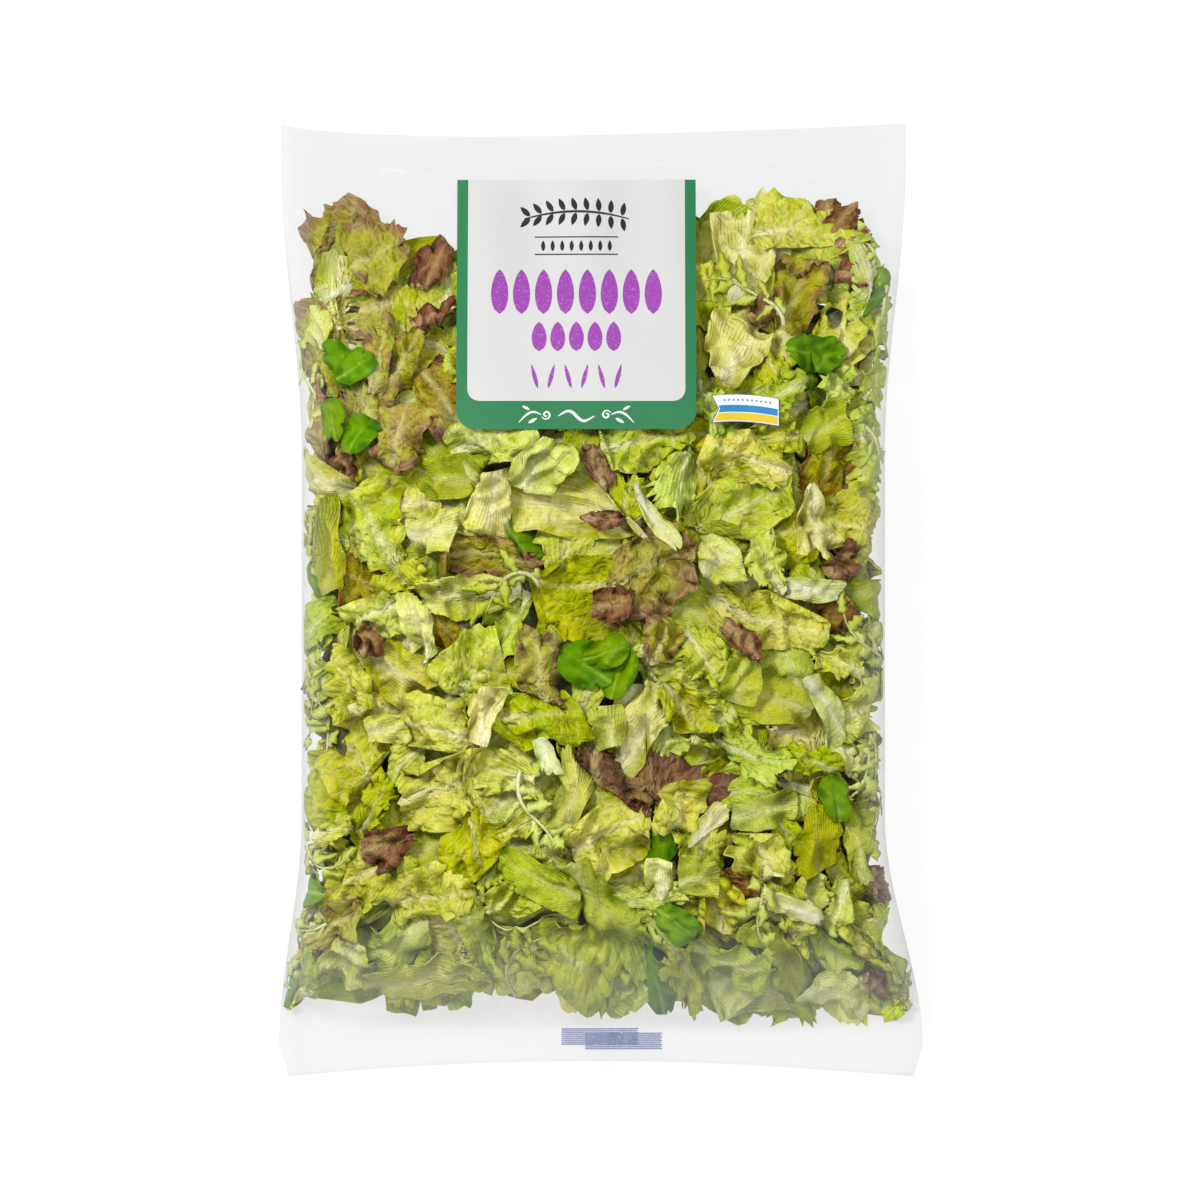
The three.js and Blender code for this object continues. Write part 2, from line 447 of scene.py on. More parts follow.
class Skin:
    """The film laid out flat: a map from place round the tube and y to places in the bag.

    Round the tube, sigma runs from -0.25 at the left side over the label side to 0.25 at the
    right side, and on over the under side to 0.75. One unit of it is the tube's girth.
    """

    GIRTH = 530.0
    PITCH = 2.0
    MAX_DEPTH = 18.0  # how deep the leaves lie over the core
    SIDE_DEPTH = 7.5
    SHARE = 0.46  # of the bag's depth, on each side of its middle plane

    def __init__(self, pillow: Pillow) -> None:
        """Lays out the pillow's film in rows of constant y."""
        self.pillow = pillow
        self.shift = pillow.shift()
        self.columns = int(self.GIRTH / self.PITCH / 4) * 4
        self.half = self.columns // 2
        self.y = np.arange(-196.0, 196.1, self.PITCH)
        rows = len(self.y)
        u = np.zeros((rows, self.columns))
        dense = -np.cos(np.linspace(0, math.pi, 181))
        steps = np.arange(self.half) / self.half
        for side, upper in enumerate((True, False)):
            points = pillow.film(dense[None], self.y[:, None], upper)
            span = np.linalg.norm(np.diff(points, axis=1), axis=-1)
            arc = np.concatenate([np.zeros((rows, 1)), np.cumsum(span, 1)], 1)
            for r in range(rows):
                found = np.interp(steps * arc[r, -1], arc[r], dense)
                u[r, side * self.half : (side + 1) * self.half] = found if upper else found[::-1]
        u[:, self.half :] = np.roll(u[:, self.half :], 1, axis=1)
        u[:, self.half] = 1.0
        self.u = u
        over = np.arange(self.columns) < self.half
        tops = pillow.film(u, self.y[:, None], True)
        unders = pillow.film(u, self.y[:, None], False)
        self.points = np.where(over[None, :, None], tops, unders) + self.shift
        around = np.roll(self.points, -1, 1) - np.roll(self.points, 1, 1)
        along = np.gradient(self.points, axis=0)
        self.normals = unit(np.cross(around, along))
        inner = np.clip(u, -0.8, 0.8)
        thick = (
            pillow.film(inner, self.y[:, None], True)
            - pillow.film(inner, self.y[:, None], False)
        )[..., 2]
        most = mix(self.MAX_DEPTH, self.SIDE_DEPTH, between(np.abs(u), 0.82, 0.97))
        self.depth = np.minimum(most, self.SHARE * thick)

    def sample(self, table: Array, sigma: Array, y: Array) -> Array:
        """Reads a table of the layout at any places, between its points too.

        Args:
            table: one value or vector for each row and column.
            sigma: places round the tube.
            y: places along it.

        Returns:
            The values there.
        """
        c = ((np.asarray(sigma) + 0.25) % 1.0) * self.columns
        r = np.clip((np.asarray(y) - self.y[0]) / self.PITCH, 0, len(self.y) - 1.001)
        c0, r0 = np.floor(c).astype(int), np.floor(r).astype(int)
        fc, fr = c - c0, r - r0
        c0 = c0 % self.columns
        c1 = (c0 + 1) % self.columns
        if table.ndim == 3:
            fc, fr = fc[..., None], fr[..., None]
        low = table[r0, c0] * (1 - fc) + table[r0, c1] * fc
        high = table[r0 + 1, c0] * (1 - fc) + table[r0 + 1, c1] * fc
        return low * (1 - fr) + high * fr

    def sigma_over(self, x: float, y: float) -> float:
        """Place round the tube of the film straight over x, y."""
        row = int(np.clip(round((y - self.y[0]) / self.PITCH), 0, len(self.y) - 1))
        xs = self.points[row, : self.half, 0]
        return float(np.interp(x, xs, np.arange(self.half) / self.columns)) - 0.25

    def cells(self, sigma: Array, y: Array) -> tuple[Array, Array]:
        """Nearest row and column to each place."""
        column = np.round(((sigma + 0.25) % 1.0) * self.columns).astype(int) % self.columns
        row = np.clip(np.round((y - self.y[0]) / self.PITCH), 0, len(self.y) - 1).astype(int)
        return row, column


# Leaves


class Kind(Enum):
    """The kinds of leaf in the mix."""

    FRILLED = "frilled_green_leaves"
    RIBBED = "ribbed_green_leaves"
    HEART = "pale_heart_leaves"
    BRONZE = "bronze_leaves"
    RED = "dark_red_leaves"
    CORN = "corn_salad_leaves"
    STALK = "white_stalks"
    CURLY = "curly_endive_leaves"


@dataclass(frozen=True)
class Habit:
    """How the pieces of one kind grew and were cut. Lengths are in millimetres."""

    length: tuple[float, float]
    width: tuple[float, float]
    square: float = 2.3  # superellipse power of the outline
    lobes: float = 0.16  # depth of its uneven lobes
    ragged: float = 0.05  # fine unevenness of the rim
    cuts: tuple[int, int] = (1, 2)  # fewest and most straight cuts
    taper: float = 0.0  # widening towards the tip
    buckle: float = 2.6  # height of broad folds
    buckle_mm: float = 34
    frill: float = 2.4  # height of the frills at the rim
    frill_mm: float = 11  # distance between frills along it
    blister: float = 0.6
    blister_mm: float = 7
    camber: float = 4.0
    crease: float = 1.0  # depth of the groove along the midrib
    fold_share: float = 0.3  # how many have a flap folded over
    thickness: float = 0.45
    rib: float = 1.2  # extra thickness of the midrib
    rib_width: float = 3.0
    tilt: float = 0.16


HABITS: dict[Kind, Habit] = {
    Kind.FRILLED: Habit(
        (32, 56), (24, 38), 2.3, 0.22, 0.03, (1, 3), 0.0, 4.0, 28, 3.9, 9, 1.0, 8, 5.5, 1.0, 0.5,
    ),
    Kind.RIBBED: Habit(
        (32, 56), (14, 26), 2.8, 0.12, 0.03, (2, 3), 0.1, 3.0, 32, 1.8, 12, 0.3, 9, 7.5, 1.4,
        0.35, 0.5, 1.4, 3.6,
    ),
    Kind.HEART: Habit(
        (20, 40), (14, 26), 2.6, 0.14, 0.02, (1, 3), 0.25, 3.8, 26, 2.0, 12, 0.4, 8, 8.0, 1.2,
        0.5, 0.55, 1.4, 4.0,
    ),
    Kind.BRONZE: Habit(
        (30, 52), (20, 32), 2.2, 0.22, 0.04, (1, 3), 0.0, 3.8, 26, 3.6, 9, 1.1, 7, 5.0, 1.0, 0.45,
    ),
    Kind.RED: Habit(
        (13, 26), (10, 18), 2.1, 0.2, 0.05, (0, 1), 0.0, 3.2, 17, 2.8, 8, 0.7, 6, 6.0, 0.8, 0.5,
    ),
    Kind.CORN: Habit(
        (17, 27), (12, 16), 2.2, 0.03, 0.0, (0, 0), 0.25, 1.0, 20, 0.4, 18, 0.12, 8, 5.0, 1.0,
        0.0, 0.6, 0.4, 1.4, 0.25,
    ),
    Kind.STALK: Habit(
        (18, 38), (6, 11), 3.4, 0.1, 0.03, (2, 3), 0.2, 1.6, 24, 0.5, 16, 0.15, 9, 5.0, 0.5,
        0.1, 0.8, 0.9, 3.0, 0.2,
    ),
    Kind.CURLY: Habit(
        (18, 32), (12, 20), 2.0, 0.42, 0.1, (0, 1), 0.0, 2.6, 18, 3.6, 6.5, 0.5, 6, 4.0, 1.0,
        0.3, 0.4, 0.9, 2.0, 0.3,
    ),
}


@dataclass(frozen=True)
class Placed:
    """One leaf that the photo shows clearly: where it lies as seen from above, and how."""

    kind: Kind
    x: float
    y: float
    length: float
    width: float
    turn: float  # direction from its base to its tip, in degrees from +X
    tone: float = 0.0  # -1 darker and more olive, 1 lighter


F, G, H, B, R, C, S, _ = Kind  # short names for the list below

SHOWN: tuple[Placed, ...] = (
    # top left
    Placed(B, -107, 151, 38, 34, 80, 0.2), Placed(B, -95, 147, 30, 28, 30, 0.1),
    Placed(B, -97, 129, 46, 26, 15, 0.3), Placed(B, -84, 104, 34, 18, 60, -0.1),
    Placed(R, -70, 143, 18, 15, 60), Placed(F, -80, 120, 30, 26, 150, 0.0),
    Placed(H, -121, 114, 20, 13, 90), Placed(C, -112, 100, 19, 13, 120),
    Placed(C, -104, 98, 18, 12, 30), Placed(B, -94, 106, 30, 13, 80),
    Placed(C, -114, 76, 18, 13, 100), Placed(C, -103, 70, 18, 14, 60),
    Placed(B, -86, 70, 34, 26, 70, 0.2), Placed(R, -70, 122, 15, 12, 20),
    Placed(F, -65, 138, 24, 20, 90, 0.2),
    # under the label
    Placed(F, -48, 69, 44, 30, 20, 0.5), Placed(H, -26, 54, 30, 20, 60, 0.4),
    Placed(G, -68, 52, 50, 20, 170), Placed(F, 14, 66, 36, 24, 10),
    Placed(H, -8, 38, 64, 20, 170), Placed(R, 1, 34, 17, 8, 0),
    # left side
    Placed(G, -117, 21, 42, 17, 90, -0.2), Placed(H, -71, 29, 30, 17, 10),
    Placed(F, -98, 34, 34, 26, 120), Placed(B, -53, 17, 58, 22, 175),
    Placed(H, -57, 1, 42, 14, 180, 0.2), Placed(F, -98, -7, 26, 20, 200, 0.6),
    Placed(H, -78, -13, 30, 12, 95, 0.5), Placed(R, -98, -17, 14, 12, 60),
    Placed(F, -56, -32, 38, 34, 40, 0.3), Placed(F, -108, -38, 36, 27, 120, 0.1),
    Placed(B, -25, -30, 36, 20, 100, 0.5), Placed(H, -48, -50, 28, 15, 80, 0.8),
    Placed(S, -24, -64, 18, 7, -70, 0.8), Placed(H, -92, -54, 20, 13, 10),
    Placed(F, -106, -68, 42, 32, 140, 0.2), Placed(F, -67, -77, 40, 34, 20, 0.6),
    # middle
    Placed(C, -6, -28, 22, 16, 140), Placed(C, 6, -30, 23, 16, 80), Placed(C, 2, -22, 18, 13, 20),
    Placed(B, 18, 10, 46, 34, 20, 0.4), Placed(R, 5, -2, 24, 13, 10), Placed(B, 27, -16, 20, 18, 60),
    Placed(H, 17, -52, 38, 24, 50, 0.3), Placed(G, 3, -53, 20, 14, 100, 0.5),
    Placed(F, 37, -48, 36, 16, -55, -0.2), Placed(R, 17, -76, 62, 30, 0, 0.3),
    # right side
    Placed(F, 59, 37, 48, 32, 30, 0.3), Placed(H, 92, 32, 32, 22, -80, 0.2),
    Placed(S, 24, 34, 30, 7, -60, 0.3), Placed(R, 105, 16, 16, 14, 40),
    Placed(F, 75, -9, 52, 30, -15, 0.4), Placed(R, 60, -17, 24, 9, -45, 0.4),
    Placed(G, 60, -33, 30, 20, 85, 0.2), Placed(G, 74, -42, 30, 22, 160),
    Placed(S, 95, -44, 34, 11, -50, 0.1), Placed(H, 59, 150, 38, 32, 80, 0.6),
    Placed(F, 84, 158, 38, 22, 10, 0.5), Placed(R, 67, 124, 12, 10, 0), Placed(R, 106, 138, 13, 11, 0),
    Placed(C, 88, 106, 20, 14, 0), Placed(C, 96, 104, 18, 13, 50),
    Placed(H, 58, 107, 32, 24, 60, 0.5), Placed(G, 96, 72, 26, 18, 30),
    Placed(F, 60, 60, 36, 24, 160, 0.3), Placed(F, 104, 118, 26, 22, 100, 0.3),
    # lower part
    Placed(R, -91, -103, 24, 17, 20), Placed(F, -76, -126, 40, 28, 10, 0.2),
    Placed(G, -22, -120, 40, 20, 150, -0.3), Placed(B, -114, -138, 28, 20, 20),
    Placed(G, 1, -132, 64, 20, -62, -0.1), Placed(G, -76, -163, 52, 15, 5, 0.1),
    Placed(G, -124, -160, 24, 8, 80), Placed(G, 71, -88, 40, 13, 10, 0.6),
    Placed(S, 45, -95, 22, 8, 55, 0.5), Placed(C, 100, -83, 20, 15, 100, 0.3),
    Placed(F, 68, -105, 28, 24, 110, 0.3), Placed(G, 109, -102, 30, 14, 95, 0.2),
    Placed(H, 24, -115, 16, 13, 90, 0.6), Placed(G, 40, -117, 20, 18, 10, 0.3),
    Placed(C, 31, -136, 19, 14, -40), Placed(G, 56, -155, 33, 15, -20, 0.2),
    Placed(H, 97, -169, 27, 15, -15, 0.4), Placed(G, 104, -158, 30, 17, -35),
    Placed(R, 118, -163, 11, 9, 0), Placed(F, 34, -88, 26, 22, 80, 0.4),
)


class PolarGrid:
    """Points in rings round a leaf's middle, with more of them in the outer rings."""

    def __init__(self, rings: tuple[int, ...], first: float = 0.11, ease_out: float = 0.82) -> None:
        """Numbers the points and joins them.

        Args:
            rings: how many points each ring has, from the inside out; each count is the
                last one or twice it.
            first: size of the first ring, where the rim is 1.
            ease_out: below 1, rings lie closer together towards the rim.
        """
        steps = np.linspace(0, 1, len(rings)) ** ease_out
        sizes = first + (1 - first) * steps
        q, theta, triangles = [0.0], [0.0], []
        last_start, last_count = 0, 1
        for count, size in zip(rings, sizes):
            start = len(q)
            turns = np.arange(count) / count
            q += [size] * count
            theta += list(TAU * turns)
            for i in range(count):
                j = (i + 1) % count
                if last_count == 1:
                    triangles.append((0, start + i, start + j))
                elif count == last_count:
                    triangles.append((last_start + i, start + i, start + j))
                    triangles.append((last_start + i, start + j, last_start + j))
            if count == 2 * last_count:
                for i in range(last_count):
                    j = (i + 1) % last_count
                    a, b, c = start + 2 * i, start + 2 * i + 1, start + 2 * j
                    triangles.append((last_start + i, a, b))
                    triangles.append((last_start + i, b, last_start + j))
                    triangles.append((last_start + j, b, c))
            last_start, last_count = start, count
        self.q = np.array(q)
        self.theta = np.array(theta)
        self.triangles = np.array(triangles)
        self.rim = np.arange(last_start, len(q))

    def normals(self, points: Array) -> Array:
        """Normals of many sheets at once, whose points are the middle axis."""
        a, b, c = (points[:, self.triangles[:, k]] for k in range(3))
        face = np.cross(b - a, c - a)
        total = np.zeros_like(points)
        for k in range(3):
            np.add.at(total, (slice(None), self.triangles[:, k]), face)
        return unit(total)

    def solid(self) -> tuple[Array, Array]:
        """Triangles of a closed thin sheet, upper face first, and which corners are rim."""
        n = len(self.q)
        under = self.triangles[:, ::-1] + n
        a, b = self.rim, np.roll(self.rim, -1)
        wall = np.concatenate([np.stack([b, a, a + n], -1), np.stack([b, a + n, b + n], -1)])
        marks = np.zeros(2 * n, int)
        marks[self.rim] = 1
        marks[self.rim + n] = 2
        return np.concatenate([self.triangles, under, wall]), marks


class Detail(Enum):
    """How finely a leaf is divided."""

    FINE = (12, 24, 24, 48, 48, 48, 48, 96, 96, 96)
    PLAIN = (10, 20, 20, 40, 40, 40)


GRIDS: dict[Detail, PolarGrid] = {detail: PolarGrid(detail.value) for detail in Detail}


@dataclass
class Blade:
    """A leaf's middle sheet before it is laid: places along, across and over its own plane."""

    kind: Kind
    detail: Detail
    a: Array
    b: Array
    w: Array
    size: float
    looks: dict[str, Array] = field(default_factory=dict)


@dataclass
class Outline:
    """A leaf's outline with its cuts, filled with its grid's points."""

    a: Array  # along the leaf
    b: Array  # across it
    cut: Array  # 1 where the rim is a straight cut
    arc: Array  # place along the rim, from 0 to 1
    girth: float


class Grower:
    """Grows leaves of every kind from their habits."""

    FLAP_BEND = 2.6  # radius of a folded flap's bend
    FLAP_TURNS = (1.7, 2.9)
    FLAP_LINE = (0.3, 0.62)  # where the fold may lie, from the middle to the tip
    CUT_LINE = (0.62, 0.85)
    TEETH = 97
    FRILLS = ((2.3, 0.55), (1.3, 0.6), (0.85, 0.4))  # length and height of its three waves
    APART = 37.0  # how far apart the patterns of two leaves lie

    def __init__(self, rng: np.random.Generator) -> None:
        """Keeps the source of chance."""
        self.rng = rng
        self.count = 0

    def grow(self, kind: Kind, detail: Detail, length: float, width: float, tone: float) -> Blade:
        """Grows and cuts one leaf.

        Args:
            kind: its kind.
            detail: how finely it is divided.
            length: from its base to its tip.
            width: across that.
            tone: from -1, darker, to 1, lighter.

        Returns:
            The leaf, still flat on its own plane.
        """
        habit, grid = HABITS[kind], GRIDS[detail]
        size = math.sqrt(length * width)
        form = self._outline(habit, grid, length, width)
        a, b = form.a, form.b
        broad, fine = self._relief(habit, grid, form, size)
        frill_a, frill_b, frill_w = self._frills(habit, grid, form)
        height = habit.frill + 0.5 * habit.buckle + 0.3
        rib = np.exp(-((b / (habit.rib_width * (0.4 - 0.6 * a / length))) ** 2))
        rib *= np.clip(0.75 - a / length, 0, 1)
        reach = 0.75 * length
        seed = self.APART * self.count
        self.count += 1
        looks = {
            "leaf_mm": np.stack(
                [a + seed, np.arctan2(b, a + reach) * reach, np.full_like(a, seed)], -1
            ),
            # painted shade: the low points of the folds and frills take the darker fold colour
            "painted_fold_shade": np.clip(0.5 - 0.42 * (fine + frill_w) / height, 0, 1),
            "rim": ease((grid.q - 0.35) / 0.65) * (1 - 0.8 * form.cut),
            "rib": rib,
            "tone": np.full_like(a, tone),
        }
        a, b, w = a + frill_a, b + frill_b, broad + fine + frill_w
        if self.rng.random() < habit.fold_share:
            a, b, w = self._fold_over(a, b, w)
        return Blade(kind, detail, a, b, w, size, looks)

    def _outline(self, habit: Habit, grid: PolarGrid, length: float, width: float) -> Outline:
        """Draws the outline with its lobes, teeth and notches, and cuts it straight in places.

        Args:
            habit: how such leaves grow.
            grid: the points that fill it.
            length: along the leaf.
            width: across it.

        Returns:
            The outline.
        """
        rng, theta = self.rng, grid.theta
        cos, sin = np.cos(theta), np.sin(theta)
        reach = (np.abs(cos) ** habit.square + np.abs(sin) ** habit.square) ** (-1 / habit.square)
        for k in range(2, 8):
            reach = reach * (1 + habit.lobes / k * 1.6 * rng.uniform(0.3, 1) * np.cos(
                k * theta + rng.uniform(0, TAU)
            ))
        teeth = rng.uniform(-1, 1, self.TEETH)
        teeth[-1] = teeth[0]
        patchy = 0.5 + 0.5 * np.sin(3 * theta + rng.uniform(0, TAU))
        jagged = np.interp(theta, np.linspace(0, TAU, self.TEETH), teeth)
        wobble = 1.8 * habit.ragged * jagged * (0.3 + patchy)
        reach = reach * (1 + wobble * grid.q**6)
        for _ in range(rng.integers(0, 4)):
            off = (theta - rng.uniform(0, TAU) + math.pi) % TAU - math.pi
            reach = reach * (1 - rng.uniform(0.1, 0.35) * np.exp(-((off / 0.09) ** 2)) * grid.q**4)
        a = 0.5 * length * cos * reach
        b = 0.5 * width * sin * reach * (1 + habit.taper * np.clip(2 * a / length, -1, 1))
        cut = np.zeros_like(a)
        for _ in range(rng.integers(habit.cuts[0], habit.cuts[1] + 1)):
            angle = rng.choice([0.0, math.pi, 0.5 * math.pi, -0.5 * math.pi])
            angle += rng.uniform(-0.45, 0.45)
            far = np.maximum(a * math.cos(angle) + b * math.sin(angle), 1e-6)
            scale = np.minimum(1, rng.uniform(*self.CUT_LINE) * far.max() / far)
            cut = np.maximum(cut, ease((1 - scale) * 14))
            a, b = a * scale, b * scale
        rim_a, rim_b = a[grid.rim], b[grid.rim]
        span = np.hypot(np.diff(rim_a, append=rim_a[0]), np.diff(rim_b, append=rim_b[0]))
        girth = float(span.sum())
        turns = np.append(theta[grid.rim], TAU)
        arc = np.interp(theta, turns, np.concatenate([[0], np.cumsum(span)]) / girth)
        return Outline(a * grid.q, b * grid.q, cut, arc, girth)

    def _relief(self, habit: Habit, grid: PolarGrid, form: Outline, size: float) -> tuple[Array, Array]:
        """Works out heights over the leaf's plane.

        Args:
            habit: how such leaves grow.
            grid: its points.
            form: its outline.
            size: the mean of its length and width.

        Returns:
            Its broad curl with the groove along the midrib, and its folds and blisters.
        """
        rng, a, b = self.rng, form.a, form.b
        long_curl, cross_curl = rng.uniform(-1, 1, 2) * habit.camber * min(1, size / 30)
        half = 0.5 * size
        broad = long_curl * (a / half) ** 2 * 0.5 + cross_curl * (b / half) ** 2 * 0.6
        groove = habit.crease * np.exp(-((b / 2.0) ** 2)) * np.clip(0.8 - a / size, 0, 1)
        buckles = Ripples(rng, habit.buckle_mm, 4)(a, b * 1.3) * habit.buckle * (0.35 + grid.q)
        waves = rng.integers(3, 6)
        rim_wave = np.sin(TAU * waves * form.arc + rng.uniform(0, TAU))
        rim_wave = rim_wave * habit.buckle * grid.q**1.8
        blisters = 0.7 - 1.3 * np.abs(Ripples(rng, 1.5 * habit.blister_mm, 9)(a, b)) ** 0.8
        ridges = np.sqrt(Ripples(rng, 0.55 * habit.buckle_mm, 5)(a, b) ** 2 + 0.01)
        buckles = buckles - 1.5 * habit.buckle * (ridges - 0.6)
        fine = 0.55 * buckles + 0.8 * rim_wave + habit.blister * blisters * (1 - 0.3 * grid.q)
        return broad - groove, fine

    def _frills(self, habit: Habit, grid: PolarGrid, form: Outline) -> tuple[Array, Array, Array]:
        """Works out the rim's frills, which lean over as they rise.

        Args:
            habit: how such leaves grow.
            grid: its points.
            form: its outline.

        Returns:
            How far they move each point along, across and up.
        """
        rng, arc = self.rng, form.arc
        height, lean = np.zeros_like(arc), np.zeros_like(arc)
        for longer, amount in self.FRILLS:
            waves = max(2, round(form.girth / (longer * habit.frill_mm)))
            drift = np.sin(TAU * 2 * arc + rng.uniform(0, TAU)) + 0.7 * np.sin(
                TAU * 3 * arc + rng.uniform(0, TAU)
            )
            phase = TAU * waves * arc + 1.6 * drift + rng.uniform(0, TAU)
            height += amount * np.sin(phase)
            lean -= 0.5 * amount * np.cos(phase)
        uneven = 0.65 + 0.45 * np.sin(TAU * 3 * arc + rng.uniform(0, TAU))
        swing = habit.frill * ease((grid.q - 0.38) / 0.62) ** 1.2 * uneven * (1 - 0.7 * form.cut)
        height, lean = swing * height, swing * lean
        norm = np.maximum(np.hypot(form.a, form.b), 1e-6)
        out_a, out_b = form.a / norm, form.b / norm
        push = 0.2 * lean
        return out_a * push - out_b * lean, out_a * lean + out_b * push, height

    def _fold_over(self, a: Array, b: Array, w: Array) -> tuple[Array, Array, Array]:
        """Rolls what lies beyond a slanting line over onto the rest.

        Args:
            a: places along the leaf.
            b: places across it.
            w: heights over its plane.

        Returns:
            The three, moved.
        """
        rng, bend = self.rng, self.FLAP_BEND
        angle = rng.uniform(0, TAU)
        cos, sin = math.cos(angle), math.sin(angle)
        far = a * cos + b * sin
        past = np.maximum(far - rng.uniform(*self.FLAP_LINE) * far.max(), 0)
        turns = rng.uniform(*self.FLAP_TURNS)
        rolled = np.minimum(past / bend, turns)
        straight = past - rolled * bend
        slide = bend * np.sin(rolled) + straight * math.cos(turns) - past
        lift = bend * (1 - np.cos(rolled)) + straight * math.sin(turns)
        return a + slide * cos, b + slide * sin, w * np.cos(rolled) + lift


class Heap:
    """The leaves in the bag, hung one by one under the film and under each other.

    The topmost leaves come first and keep their full relief. Each later one is bent under
    those already there, so that it shows only in the gaps between them.
    """

    UNDER = 78  # percent of a leaf's points that keep clear of what is over it
    PRESS = 0.7  # how softly a leaf flattens against what is over it
    FILM_GAP = 0.9
    FREE_DEPTH = 14  # where the bag is at least so deep, leaves keep their full relief
    SPACE = 0.5  # between one leaf and the next
    THIN = 12  # where the bag has less than this over its middle, no core lies
    BLURS = (6.0, 2.2)  # sizes of the gaps that are looked for
    WITHIN = np.array([  # spots within a triangle, as shares of its corners
        (1 / 3, 1 / 3, 1 / 3), (0.6, 0.2, 0.2), (0.2, 0.6, 0.2), (0.2, 0.2, 0.6),
        (0.5, 0.5, 0.0), (0.5, 0.0, 0.5), (0.0, 0.5, 0.5),
    ])
    TOP_LINE = (
        (-134, 120), (-126, 128), (-121, 152), (-119, 165), (-108, 171), (-97, 164), (-90, 154),
        (-80, 152), (-60, 151), (-30, 156), (20, 158), (40, 162), (56, 171), (84, 172), (108, 166),
        (117, 150), (124, 128), (134, 120),
    )
    BOTTOM_LINE = (
        (-136, -172), (-127, -168), (-112, -166), (-80, -174), (-36, -171), (0, -174),
        (44, -176), (84, -178), (120, -177), (136, -166),
    )

    def __init__(self, skin: Skin, rng: np.random.Generator) -> None:
        """Starts with nothing under the film."""
        self.skin = skin
        self.rng = rng
        self.ceiling = skin.depth - self.FILM_GAP
        self.laid: list[tuple[Blade, Array]] = []
        waves = np.hypot(
            np.fft.fftfreq(len(skin.y), skin.PITCH)[:, None],
            np.fft.fftfreq(skin.columns, skin.PITCH)[None],
        )
        self.blurs = [np.exp(-2 * (math.pi * waves * size) ** 2) for size in self.BLURS]

    def limits(self, x: Array) -> tuple[Array, Array]:
        """The lowest and highest y that leaves reach at x."""
        low = np.interp(x, *zip(*self.BOTTOM_LINE))
        high = np.interp(x, *zip(*self.TOP_LINE))
        return low, high

    def bare_share(self) -> float:
        """How much of the label side shows no leaf yet."""
        sigma, y = np.meshgrid(np.linspace(-0.22, 0.22, 120), np.linspace(-160, 148, 150))
        covered = self.skin.sample(self.skin.depth - self.ceiling, sigma, y)
        return float((covered < self.FILM_GAP + 0.3).mean())

    def spot(
        self, zone: tuple[float, float], inset: float, reach: int = 0
    ) -> tuple[float, float, float]:
        """Finds the most open spot.

        Args:
            zone: the least and greatest sigma.
            inset: how far it keeps from the contents' upper and lower limits.
            reach: 0 to look for wide gaps, 1 for small ones.

        Returns:
            The spot's sigma and y, and how much round it shows no leaf yet, from 0 to 1.
        """
        skin = self.skin
        hanging = skin.depth - self.ceiling
        bare = (hanging < self.FILM_GAP + 0.3) * 1.0
        shallow = 0.12 * (1 - np.clip(hanging / np.minimum(0.7 * skin.depth, 8), 0, 1))
        spread = np.fft.ifft2(np.fft.fft2(bare + shallow) * self.blurs[reach]).real
        sigma = np.arange(skin.columns) / skin.columns - 0.25
        low, high = self.limits(skin.points[..., 0])
        allowed = (sigma >= zone[0]) & (sigma <= zone[1])
        allowed = allowed & (skin.y[:, None] > low + inset) & (skin.y[:, None] < high - inset)
        score = np.where(allowed, spread + self.rng.uniform(0, 0.12, spread.shape), -1)
        row, column = np.unravel_index(int(score.argmax()), score.shape)
        return float(sigma[column]), float(skin.y[row]), float(spread[row, column])

    def keep_inside(self, sigma: float, y: float, across: Array, along: Array, slack: float) -> Array:
        """Moves a piece so that it stays between the contents' limits.

        Args:
            sigma: where its middle goes, round the tube.
            y: and along it.
            across: how far its points lie from there, across the bag.
            along: and along it.
            slack: how far it may reach past the limits.

        Returns:
            The y of its points.
        """
        x = self.skin.sample(self.skin.points, sigma + across / self.skin.GIRTH, y + along)[..., 0]
        low, high = self.limits(x)
        y -= max(0.0, float((y + along - high).max()) - self.rng.uniform(0.7, 1) * slack)
        y += max(0.0, float((low - y - along).max()) - self.rng.uniform(0.7, 1) * slack)
        return y + along

    def take(self, corners: Array, place: Array, rows: Array, height: Array) -> None:
        """Lowers the ceiling to just under a leaf.

        Args:
            corners: three point numbers for each of its triangles.
            place: sigma of its points.
            rows: their y.
            height: their heights over the core.
        """
        sigma, y, low = (
            np.concatenate([v, (v[corners] @ self.WITHIN.T).ravel()]) for v in (place, rows, height)
        )
        np.minimum.at(self.ceiling, self.skin.cells(sigma, y), low - self.SPACE)

    def under(self, raw: Array, ceiling: Array) -> Array:
        """Heights that follow raw ones but stay under the ceiling."""
        return ceiling - self.PRESS * np.logaddexp(0, (ceiling - raw) / self.PRESS)

    def inside(self, place: Array, rows: Array, height: Array) -> Array:
        """Points in the bag at heights over the core."""
        depth = self.skin.sample(self.skin.depth, place, rows)
        normals = unit(self.skin.sample(self.skin.normals, place, rows))
        return self.skin.sample(self.skin.points, place, rows) - normals * (depth - height)[..., None]

